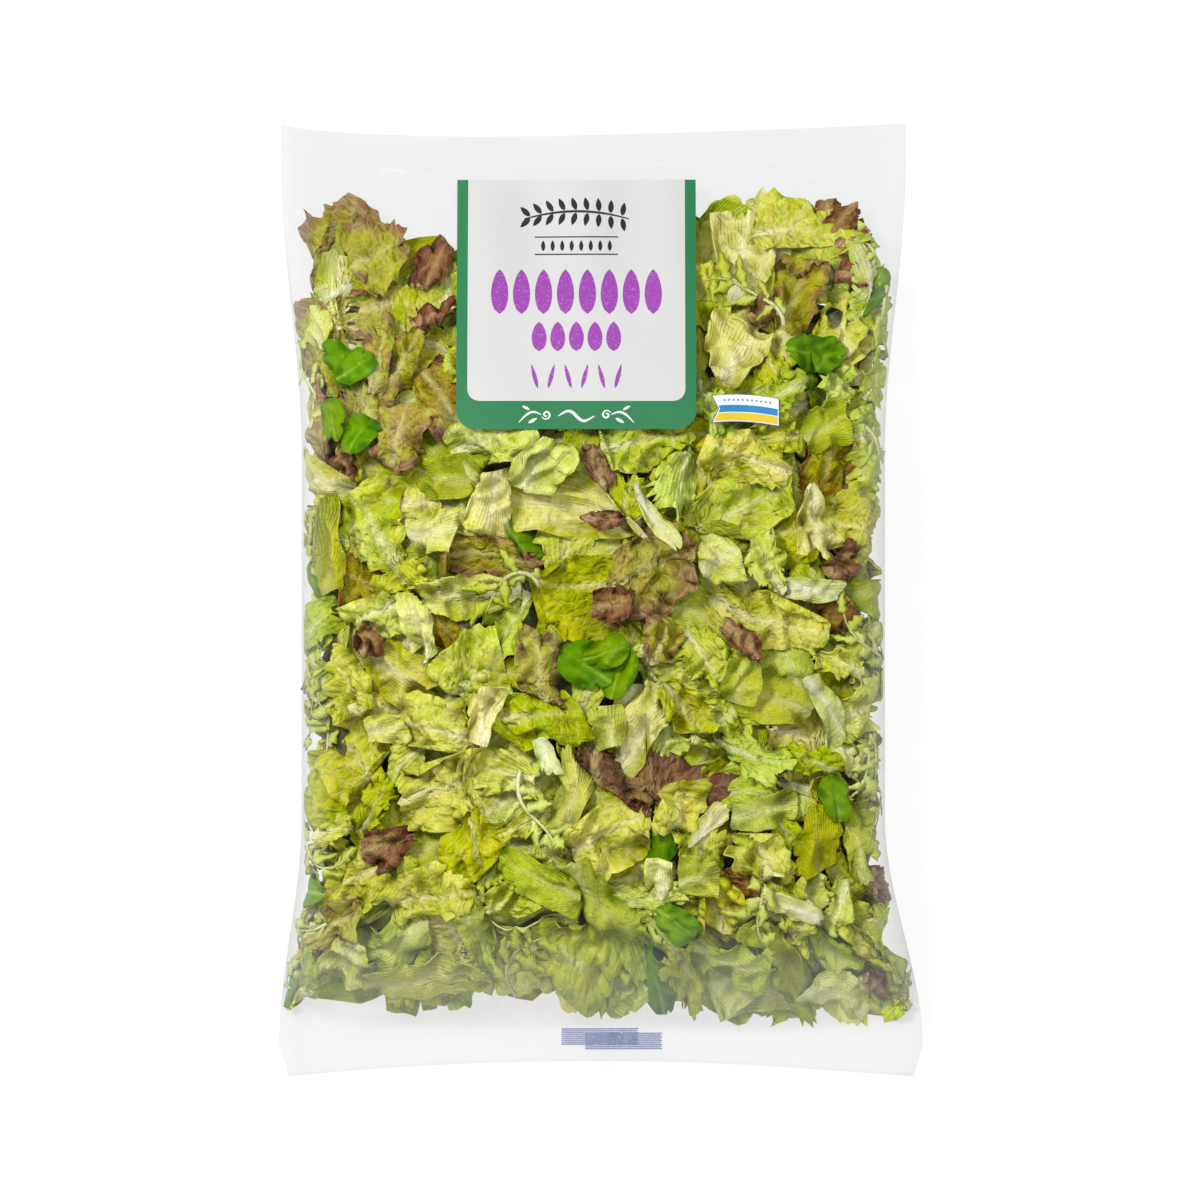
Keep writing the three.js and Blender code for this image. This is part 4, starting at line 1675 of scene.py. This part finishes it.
class Shreds:
    """Curly endive: narrow pale ribs with toothed, curling lobes along both sides."""

    LENGTH = (26, 52)
    LOBES = (6, 10)
    LOBE = (8, 15)
    LOBE_WIDTH = (1.5, 3.4)
    RIB_WIDTH = (1.1, 0.5)  # half of it, at the base and at the tip
    STEPS = 13  # points along the rib
    LOBE_STEPS = 11
    APART = 23.0  # how far apart the patterns of two shreds lie
    FINISH = LeafFinish(
        "curly_endive_shred", "c7d450", "d5dc68", "8e9c20", "c5d250", "eeeec4",
        0.35, 5.0, 0.1, 0.9, 0.3, 0.3, 0.26, 0.28,
    )

    def __init__(self, rng: np.random.Generator) -> None:
        """Keeps the source of chance."""
        self.rng = rng
        self.points: list[Array] = []
        self.triangles: list[Array] = []
        self.looks: dict[str, list[Array]] = {
            key: [] for key in ("leaf_mm", "painted_fold_shade", "rim", "rib", "tone")
        }
        self.start = 0
        self.count = 0

    def scatter(self, heap: Heap, count: int, zone: tuple[float, float] = (-0.24, 0.24)) -> None:
        """Hangs some shreds in open spots."""
        for _ in range(count):
            sigma, y, _ = heap.spot(zone, 6)
            self._hang(heap, sigma, y)

    def _strips(self) -> list[tuple[Array, Array, Array, Array]]:
        """Draws the rib and lobes of one shred.

        Returns:
            For each strip its centre line, half widths, whiteness and places along it.
        """
        rng = self.rng
        length = rng.uniform(*self.LENGTH)
        t = np.linspace(0, 1, self.STEPS)
        bend = rng.choice((-1, 1)) * rng.uniform(0.6, 2.8)
        heading = bend * (t - 0.5) + 0.3 * np.sin(TAU * t + rng.uniform(0, TAU))
        step = length / (self.STEPS - 1)
        a = np.concatenate([[0], np.cumsum(np.cos(heading[:-1]) * step)]) - 0.5 * length
        b = np.concatenate([[0], np.cumsum(np.sin(heading[:-1]) * step)])
        b -= b.mean()
        w = 1.8 * np.sin(TAU * 1.3 * t + rng.uniform(0, TAU))
        rib = mix(*self.RIB_WIDTH, t) * (1 - 0.85 * (t > 0.97))
        strips = [(np.stack([a, b, w], -1), rib, 1 - 0.8 * t, t)]
        lobes = rng.integers(*self.LOBES)
        s = np.linspace(0, 1, self.LOBE_STEPS)
        for k in range(lobes):
            at = 0.1 + 0.9 * (k + rng.uniform(-0.3, 0.3)) / lobes
            side = 1 if k % 2 else -1
            origin = np.array([np.interp(at, t, c) for c in (a, b, w)])
            turn = float(np.interp(at, t, heading)) + side * rng.uniform(0.5, 1.2)
            reach = rng.uniform(*self.LOBE) * (0.6 + 0.5 * math.sin(math.pi * at))
            curl = (turn + side * rng.uniform(-1.2, 0.8) * s)[:-1]
            la, lb = (
                np.concatenate([[0], np.cumsum(part)]) * reach / (self.LOBE_STEPS - 1)
                for part in (np.cos(curl), np.sin(curl))
            )
            lw = rng.uniform(-0.5, 0.3) * reach * s**1.6 + 0.8 * np.sin(4 * s + rng.uniform(0, TAU))
            teeth = 1 + 0.38 * np.sin(rng.uniform(11, 16) * s + rng.uniform(0, TAU))
            wide = rng.uniform(*self.LOBE_WIDTH) * np.sin(math.pi * s**0.7) ** 0.8 * teeth + 0.06
            centre = origin + np.stack([la, lb, lw], -1)
            strips.append((centre, wide, 0.5 * (1 - s) * (1 - at), s))
        return strips

    def _hang(self, heap: Heap, sigma: float, y: float) -> None:
        """Hangs one shred under what is there and keeps its thin solids.

        Args:
            heap: takes the shred.
            sigma: where its middle goes, round the tube.
            y: and along it.
        """
        rng, skin = self.rng, heap.skin
        strips = self._strips()
        turn = rng.uniform(0, TAU)
        cos, sin = math.cos(turn), math.sin(turn)
        tone = rng.uniform(-0.6, 0.7)
        line = np.concatenate([strip[0] for strip in strips])
        across = line[:, 0] * cos - line[:, 1] * sin
        rows = heap.keep_inside(sigma, y, across, line[:, 0] * sin + line[:, 1] * cos, 4)
        place = sigma + across / skin.GIRTH
        over = skin.sample(heap.ceiling, place, rows)
        raw = 0.5 * over + 0.5 * np.percentile(over, 70) + line[:, 2] - 1.2
        height = np.maximum(heap.under(raw, over), -1.5)
        centre = heap.inside(place, rows, height)
        up = unit(skin.sample(skin.normals, place, rows))
        np.minimum.at(heap.ceiling, skin.cells(place, rows), height - heap.SPACE)
        at = 0
        for local, wide, white, t in strips:
            path, lift = centre[at : at + len(local)], up[at : at + len(local)]
            at += len(local)
            tangent = unit(np.gradient(path, axis=0))
            side = unit(np.cross(tangent, lift) + lift * rng.normal(0, 0.3))
            normal = unit(np.cross(side, tangent))
            thick = np.minimum(0.12 + 0.14 * wide, 0.3)[:, None]
            ring = np.stack([
                path - side * wide[:, None], path + normal * thick,
                path + side * wide[:, None], path - normal * thick,
            ], 1)
            self._keep(ring, local, white, t, tone)
        self.count += 1

    def _keep(self, ring: Array, local: Array, white: Array, t: Array, tone: float) -> None:
        """Joins the rings of one strip into a closed body.

        Args:
            ring: four corners at each point along it.
            local: those points before the shred was hung.
            white: how white its rib is there.
            t: how far along the strip they lie.
            tone: from -1, darker, to 1, lighter.
        """
        n, last = len(ring), 4 * (len(ring) - 1)
        ends = [(0, 2, 1), (0, 3, 2), (last, last + 1, last + 2), (last, last + 2, last + 3)]
        self.points.append(ring.reshape(-1, 3))
        body = np.concatenate([grid_triangles(n, 4, closed=True), ends])
        self.triangles.append(body + self.start)
        self.start += 4 * n
        seed = self.APART * self.count
        spot = np.repeat(local, 4, axis=0) + np.array([seed, 0, seed])
        spot[:, 1] += np.tile([-1.0, 0, 1.0, 0], n)
        values = {
            "leaf_mm": spot, "painted_fold_shade": np.full(4 * n, 0.3), "rim": np.repeat(0.6 * t, 4),
            "rib": np.repeat(white, 4), "tone": np.full(4 * n, tone),
        }
        for key, value in values.items():
            self.looks[key].append(value)

    def build(self) -> bpy.types.Object:
        """Makes one piece of all the shreds."""
        item = mesh_object(
            "curly_endive_shreds", np.concatenate(self.points), np.concatenate(self.triangles),
            self.FINISH.build(), {key: np.concatenate(parts) for key, parts in self.looks.items()},
        )
        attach(item, ROOT)
        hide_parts("bag")
        log.info("shreds: %d triangles", len(item.data.polygons))
        return item


@dataclass
class Droplets:
    """Drops of wash water that cling to the leaves."""

    rng: np.random.Generator
    count: int = 420
    radius: tuple[float, float] = (0.3, 0.95)
    flatness: float = 0.55
    around: int = 8
    rings: int = 3
    lift: float = 0.3  # of a drop's middle over the leaf's middle sheet
    later: int = 60  # so many of the leaves after the shown ones carry drops too

    def build(self, heap: Heap) -> bpy.types.Object:
        """Makes one piece of low domes on the leaves' upper faces.

        Args:
            heap: gives the laid leaves.

        Returns:
            The drops.
        """
        lift = np.linspace(0.06, 0.94, self.rings)[:, None] * math.pi
        turn = TAU * np.arange(self.around) / self.around
        ball = np.stack([
            np.sin(lift) * np.cos(turn), np.sin(lift) * np.sin(turn),
            self.flatness * np.cos(lift) * np.ones(self.around),
        ], -1).reshape(-1, 3)
        ball = np.concatenate([ball, [[0, 0, self.flatness], [0, 0, -self.flatness]]])
        faces = capped_rings(self.rings, self.around)[:, ::-1]
        points, triangles = [], []
        top = heap.laid[: len(SHOWN) + self.later]
        shown = [item for item in top if item[0].detail is Detail.FINE]
        normals = GRIDS[Detail.FINE].normals(np.stack([sheet for _, sheet in shown]))
        for n in range(self.count):
            which = int(self.rng.integers(len(shown)))
            corner = int(self.rng.integers(len(normals[which])))
            up = normals[which][corner]
            side = unit(np.cross(up, [0.3, 1.0, 0.1]))
            local = ball * self.rng.uniform(*self.radius)
            drop = local[:, :1] * side + local[:, 1:2] * np.cross(up, side) + local[:, 2:] * up
            points.append(shown[which][1][corner] + up * self.lift + drop)
            triangles.append(faces + n * len(ball))
        item = mesh_object(
            "water_drops", np.concatenate(points), np.concatenate(triangles), WaterFinish().build()
        )
        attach(item, ROOT)
        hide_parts("bag")
        log.info("drops: %d triangles", len(item.data.polygons))
        return item


# Label, banner and print


class Print:
    """Thin layers that follow the film's upper side: labels, and ink on them."""

    def __init__(self, skin: Skin) -> None:
        """Keeps the form that they lie on."""
        self.skin = skin

    def drape(self, x: Array, y: Array, lift: float) -> Array:
        """Points over x, y, which are in the form's own frame, at a height over the film."""
        pillow = self.skin.pillow
        u = (x - pillow.centre_x(y)) / pillow.half_width(y)
        points = pillow.film(u, y, True) + self.skin.shift
        points[..., 2] += lift
        return points

    def layer(
        self,
        name: str,
        patches: Iterable[tuple[Array, Array]],
        lift: float,
        thickness: float,
        finish: PrintFinish,
        slot: str,
        stands_for: str | None = None,
    ) -> bpy.types.Object:
        """Makes one piece of patches that follow the film.

        Args:
            name: the piece's name.
            patches: for each patch, a grid of x and a grid of y.
            lift: height of its underside over the film.
            thickness: of the layer.
            finish: its finish.
            slot: not used.
            stands_for: the CAD node that it replaces.

        Returns:
            The piece.
        """
        points, triangles, marks, start = [], [], [], 0
        for x, y in patches:
            rows, columns = x.shape
            over = self.drape(x, y, lift + thickness).reshape(-1, 3)
            under = self.drape(x, y, lift).reshape(-1, 3)
            n = rows * columns
            face = grid_triangles(rows, columns)
            number = np.arange(n).reshape(rows, columns)
            loop = np.concatenate([
                number[0, :-1], number[:-1, -1], number[-1, :0:-1], number[:0:-1, 0]
            ])
            ahead = np.roll(loop, -1)
            wall = np.concatenate([
                np.stack([ahead, loop, loop + n], -1), np.stack([ahead, loop + n, ahead + n], -1)
            ])
            mark = np.zeros(2 * n, int)
            mark[loop] = 1
            mark[loop + n] = 2
            points += [over, under]
            triangles.append(np.concatenate([face, face[:, ::-1] + n, wall]) + start)
            marks.append(mark)
            start += 2 * n
        item = mesh_object(
            name, np.concatenate(points), np.concatenate(triangles), finish.build(),
            rim=np.concatenate(marks),
        )
        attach(item, ROOT)
        if stands_for:
            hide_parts(stands_for)
        log.info("%s: %d triangles", name, len(item.data.polygons))
        return item


def stroke(line: Array, half: Array, across: int = 3) -> tuple[Array, Array]:
    """A band of changing width along a line.

    Args:
        line: x and y of points along it.
        half: its half width at each.
        across: points across it.

    Returns:
        Its grid of x and its grid of y.
    """
    tangent = unit(np.gradient(line, axis=0))
    side = np.stack([-tangent[:, 1], tangent[:, 0]], -1)
    share = np.linspace(1, -1, across)
    grid = line[:, None] + side[:, None] * (half[:, None] * share)[..., None]
    return grid[..., 0], grid[..., 1]


@dataclass
class FrontLabel:
    """The label: a green border and band round a white panel, with plain leaf ornaments."""

    x: float = -10.3
    top: float = 177
    bottom: float = 71.4
    width: float = 100.4
    corner: float = 8
    border: float = 4.6
    band: float = 11.8
    panel_corner: float = 5
    lift: float = 0.3
    paper: float = 0.12
    ink: float = 0.05
    # each row of leaves: how many, first x, pitch, y, length, width, fullness and tilt
    purple_rows: tuple[tuple[float, ...], ...] = (
        (8, -32.2, 9.2, 129.4, 19, 7.2, 0.62, 0),
        (5, -15.6, 7.8, 110.4, 12.4, 6.2, 0.62, 0),
        (6, -17.5, 7, 93.6, 10.5, 1.7, 0.8, 15),
    )
    black_row: tuple[float, ...] = (8, -14, 4, 148.9, 4.6, 1.7, 0.8, 0)
    rules: tuple[float, float] = (152.6, 145.2)
    rule_reach: float = 17.5
    sprig: tuple[float, float, float] = (22, 163.5, 3.2)  # half length, y and bow of its stem
    wave: tuple[float, float, float] = (7.6, 76.9, 2.0)  # half length, y and height
    scrolls: tuple[float, float, float] = (12.6, 77.4, 2.0)  # distance, y and size

    def field_grid(
        self, left: float, right: float, bottom: float, top: float, corner: float
    ) -> tuple[Array, Array]:
        """Lays out a field that is square above and has two round corners below.

        Args:
            left: its least x.
            right: its greatest x.
            bottom: its least y.
            top: its greatest y.
            corner: radius of its lower corners.

        Returns:
            Its grid of x and its grid of y.
        """
        rows, columns = 52, 40
        y = mix(bottom, top, np.linspace(0, 1, rows) ** 1.35)[:, None]
        below = np.clip(corner - (y - bottom), 0, corner)
        half = (right - left) / 2 - (corner - np.sqrt(corner**2 - below**2))
        x = (left + right) / 2 + np.linspace(-1, 1, columns)[None] * half
        return x, np.broadcast_to(y, x.shape)

    def leaf_shape(
        self, x: float, y: float, length: float, width: float, turn: float, fullness: float = 0.8
    ) -> tuple[Array, Array]:
        """Draws a pointed oval leaf.

        Args:
            x: its middle's place across the bag.
            y: and along it.
            length: from its base to its tip.
            width: across that.
            turn: its direction, in radians.
            fullness: below 1, its sides are fuller.

        Returns:
            Its grid of x and its grid of y.
        """
        t = np.linspace(0, 1, 12)
        cos, sin = math.cos(turn), math.sin(turn)
        line = np.stack([x + length * (t - 0.5) * cos, y + length * (t - 0.5) * sin], -1)
        return stroke(line, 0.5 * width * np.sin(math.pi * t**0.85) ** fullness + 0.01, 5)

    def leaf_row(self, row: tuple[float, ...]) -> list[tuple[Array, Array]]:
        """Draws a row of upright leaves, which lean by turns where it has a tilt."""
        count, first, pitch, y, length, width, fullness, tilt = row
        return [
            self.leaf_shape(
                self.x + first + pitch * i, y, length, width,
                math.radians(90 - tilt if i % 2 else 90 + tilt), fullness,
            )
            for i in range(count)
        ]

    def rule(self, y: float) -> tuple[Array, Array]:
        """Draws a thin straight line across the middle of the panel."""
        x = np.linspace(self.x - self.rule_reach, self.x + self.rule_reach, 26)
        return stroke(np.stack([x, np.full_like(x, y)], -1), np.full_like(x, 0.25))

    def scroll(self, x: float, y: float, size: float, side: int) -> list[tuple[Array, Array]]:
        """Draws a curled flourish: a spiral with a tail and two small leaves.

        Args:
            x: its middle's place across the bag.
            y: and along it.
            size: radius of the spiral.
            side: 1 where its tail points to the right and -1 where it points to the left.

        Returns:
            A grid of x and a grid of y for each of its parts.
        """
        t = np.linspace(0, 1, 34)
        angle = side * (TAU * 1.35 * t + 0.4)
        radius = size * (1 - 0.82 * t)
        spiral = np.stack([x + side * radius * np.cos(angle), y + radius * np.sin(angle)], -1)
        s = np.linspace(0, 1, 22)
        tail = np.stack([
            x + side * (size + 9.5 * s), y + 2.2 * np.sin(math.pi * 1.1 * s) - 2.6 * s
        ], -1)
        return [
            stroke(spiral, 0.14 + 0.26 * np.sin(math.pi * t)),
            stroke(tail, 0.12 + 0.36 * np.sin(math.pi * s)),
            self.leaf_shape(x + side * (size + 3.6), y - 2.4, 4.2, 1.3, side * -0.5),
            self.leaf_shape(x + side * (size + 6.4), y + 2.9, 3.6, 1.1, side * 0.5),
        ]

    def bowed_sprig(self) -> list[tuple[Array, Array]]:
        """Draws a bowed stem with nine pairs of small leaves."""
        reach, y, bow = self.sprig
        at = np.linspace(-1, 1, 30)
        parts = [stroke(
            np.stack([self.x + reach * at, y - bow * at**2], -1), 0.22 + 0.25 * (1 - at**2)
        )]
        for i in range(-4, 5):
            at = i / 4.6
            cx, cy = self.x + reach * at, y - bow * at**2
            for side in (-1, 1):
                turn = math.radians(90 * side - 32 * at * side + 18 * side)
                parts.append(self.leaf_shape(
                    cx + 3.4 * math.cos(turn), cy + 3.4 * math.sin(turn), 5.6, 2.3, turn
                ))
        return parts

    def build(self, printer: Print) -> None:
        """Makes the label's layers."""
        left, right = self.x - self.width / 2, self.x + self.width / 2
        green = PrintFinish("satin_green_label_ink", "236a41", "2d784d", 0.3)
        white = PrintFinish("satin_white_label_stock", "b6b6b5", "aeaead", 0.3)
        black = PrintFinish("black_label_ink", "1c1c1c", "3a3a3a", 0.5)
        purple = PrintFinish("purple_label_ink", "843892", "9d6ea6", 0.75)
        pale = PrintFinish("white_label_ink", "cdd4ce", "b6c8bc", 0.4)
        border = self.field_grid(left, right, self.bottom, self.top, self.corner)
        printer.layer("label_border", [border], self.lift, self.paper, green, "label", "label")
        lift = self.lift + self.paper + 0.1
        panel = self.field_grid(
            left + self.border, right - self.border, self.bottom + self.band, self.top,
            self.panel_corner,
        )
        printer.layer("label_panel", [panel], lift, self.ink, white, "label")
        lift += self.ink + 0.08
        marks = [leaf for row in self.purple_rows for leaf in self.leaf_row(row)]
        printer.layer("label_purple_ink", marks, lift, self.ink, purple, "label")
        marks = [
            *self.bowed_sprig(), *(self.rule(y) for y in self.rules),
            *self.leaf_row(self.black_row),
        ]
        printer.layer("label_black_ink", marks, lift, self.ink, black, "label")
        reach, y, high = self.wave
        t = np.linspace(0, 1, 40)
        swing = high * np.sin(TAU * t) * (1 - 0.25 * np.cos(TAU * t))
        line = np.stack([self.x + reach * (2 * t - 1), y + swing], -1)
        marks = [stroke(line, 0.2 + 0.42 * np.sin(math.pi * t))]
        away, y, size = self.scrolls
        for side in (-1, 1):
            marks += self.scroll(self.x + side * away, y, size, side)
        lift = self.lift + self.paper + 0.08
        printer.layer("label_white_ink", marks, lift, self.ink, pale, "label")


@dataclass
class Banner:
    """The small sticker: an arched ribbon in white, blue and yellow, notched at its left end."""

    left: float = 46
    right: float = 74.7
    y: float = 80.8
    height: float = 11.8
    notch: float = 3
    arch: float = 1.2
    tilt: float = -0.05
    lift: float = 0.4
    paper: float = 0.12
    ink: float = 0.04
    dots: int = 11

    def place(self, s: Array, t: Array) -> tuple[Array, Array]:
        """Works out x and y at s across and t up the banner."""
        notched = self.left + self.notch * (1 - np.abs(2 * t - 1))
        x = mix(notched, self.right, s)
        off = (2 * x - self.left - self.right) / (self.right - self.left)
        y = self.y + self.height * (t - 0.5) - self.arch * off**2 + self.tilt * (x - self.left)
        return x, y

    def band(self, low: float, high: float, inset: float = 0.0) -> tuple[Array, Array]:
        """Lays out the part between two heights, held in from the ends."""
        s = np.linspace(inset, 1 - inset, 26)[None]
        t = np.linspace(low, high, 7)[:, None]
        return self.place(s + 0 * t, t + 0 * s)

    def dot(self, i: int) -> tuple[Array, Array]:
        """Draws one of the dots along its upper part."""
        x, y = self.place(np.array(0.16 + 0.07 * i), np.array(0.8))
        t = np.linspace(-0.5, 0.5, 6)
        line = np.stack([float(x) + 0.9 * t, np.full(6, float(y))], -1)
        return stroke(line, 0.45 * np.sqrt(np.maximum(0, 1 - (2 * t) ** 2)) + 0.01)

    def build(self, printer: Print) -> None:
        """Makes the sticker and its printed bands."""
        white = PrintFinish("satin_white_sticker_stock", "cfd2d3", "c4c8ca", 0.3)
        blue = PrintFinish("blue_sticker_ink", "2774a7", "3f86b4", 0.4)
        yellow = PrintFinish("yellow_sticker_ink", "caae2a", "bda432", 0.4)
        navy = PrintFinish("navy_sticker_ink", "24446e", "3a5a86", 0.4)
        edge = [self.band(0.0, 1.0)]
        printer.layer("banner_edge", edge, self.lift, self.paper, navy, "banner", "banner_label")
        lift = self.lift + 0.15
        field = [self.band(0.035, 0.985, 0.014)]
        printer.layer("banner_white", field, lift, self.ink, white, "banner")
        lift += 0.07
        low = [self.band(0.07, 0.345, 0.03)]
        printer.layer("banner_yellow", low, lift, self.ink, yellow, "banner")
        high = [self.band(0.375, 0.62, 0.03), *(self.dot(i) for i in range(self.dots))]
        printer.layer("banner_blue", high, lift, self.ink, blue, "banner")


@dataclass
class DatePatch:
    """Two overlapping blocks of fine printed lines at the bottom of the film."""

    blocks: tuple[tuple[float, float, float, float], ...] = (
        (-16.6, 15.8, -187.0, -179.9), (-6.7, 25.8, -189.2, -182.2),
    )
    pitch: float = 0.8
    half: float = 0.3

    def build(self, printer: Print) -> None:
        """Prints the lines on the film."""
        ink = PrintFinish("grey_blue_film_ink", "7d84a0", "a3a8bf", 0.8)
        lines = []
        for n, (left, right, low, high) in enumerate(self.blocks):
            shift = 0.35 * self.pitch * n
            for i, y in enumerate(np.arange(low, high, self.pitch)):
                x = np.linspace(left, right - (0.6 if i % 2 else 0), 18)
                line = np.stack([x, np.full_like(x, y + shift)], -1)
                lines.append(stroke(line, np.full_like(x, self.half)))
        printer.layer("date_patch", lines, 0.12, 0.03, ink, "film_and_leaves")


# The studio


@dataclass(frozen=True)
class Lamp:
    """A square soft lamp that looks at the middle of the bag."""

    name: str
    size: float  # in metres, as its place is
    watts: float
    place: tuple[float, float, float]

    def build(self) -> None:
        """Hangs the lamp."""
        data = bpy.data.lights.new(self.name, "AREA")
        data.shape = "SQUARE"
        data.size = self.size
        data.energy = self.watts
        lamp = bpy.data.objects.new(self.name, data)
        lamp.location = self.place
        lamp.rotation_euler = (-Vector(self.place)).to_track_quat("-Z", "Y").to_euler()
        bpy.context.scene.collection.objects.link(lamp)


@dataclass
class Studio:
    """A pale lit table, a soft key light and the camera straight above."""

    reach: float = 504  # what the picture takes in, at the height of the bag's sides
    sides: float = 27
    camera_height: float = 6000
    camera_x: float = -0.4
    sensor: float = 36
    table: str = "545454"
    table_reach: float = 3000
    table_depth: float = 0.2  # how far under the bag it lies, so that the two don't flicker
    glow: float = 0.9
    world: float = 0.7
    lamps: tuple[Lamp, ...] = (
        Lamp("key", 0.32, 22, (-0.7, 0.6, 1.4)), Lamp("glint", 0.09, 5, (0.25, 0.5, 1.6)),
    )

    def build(self) -> None:
        """Sets up floor, lights and camera."""
        scene = bpy.context.scene
        self._floor()
        for lamp in self.lamps:
            lamp.build()
        world = bpy.data.worlds.new("white_surround")
        world.use_nodes = True
        background = world.node_tree.nodes["Background"].inputs
        background["Color"].default_value = linear(WHITE)
        background["Strength"].default_value = self.world
        scene.world = world
        data = bpy.data.cameras.new("camera")
        data.sensor_width = self.sensor
        data.lens = self.sensor * (self.camera_height - self.sides) / self.reach
        data.clip_end = 20
        camera = bpy.data.objects.new("camera", data)
        camera.location = (self.camera_x * MM, 0, self.camera_height * MM)
        scene.collection.objects.link(camera)
        scene.camera = camera
        scene.view_settings.view_transform = "Standard"

    def _floor(self) -> None:
        """Lays a large pale sheet that glows a little, as a light table does."""
        material, add = new_material("pale_light_table")
        matt = add("ShaderNodeBsdfDiffuse", {"Color": linear(self.table)})
        glow = add("ShaderNodeEmission", {"Color": linear(WHITE), "Strength": self.glow})
        both = add("ShaderNodeAddShader", {0: matt, 1: glow})
        add("ShaderNodeOutputMaterial", {"Surface": both})
        ways = np.array([(-1, -1, 0), (1, -1, 0), (1, 1, 0), (-1, 1, 0)])
        corners = ways * self.table_reach - (0, 0, self.table_depth)
        floor = mesh_object("floor", corners, np.array([(0, 1, 2), (0, 2, 3)]), material)


def main() -> None:
    """Builds the bag, its contents, its labels and the studio."""
    logging.basicConfig(level=logging.INFO, format="%(message)s")
    rng = np.random.default_rng(SEED)
    skin = Skin(Pillow())
    heap = Heap(skin, rng)
    shreds = Shreds(rng)
    leaves = MixedLeaves(skin, rng)
    leaves.fill(heap, shreds)
    SaladCore(skin).build(heap)
    leaves.build(heap)
    shreds.build()
    Droplets(rng).build(heap)
    FilmBag(skin).build()
    printer = Print(skin)
    FrontLabel().build(printer)
    Banner().build(printer)
    DatePatch().build(printer)
    Studio().build()


if __name__ == "__main__":
    main()
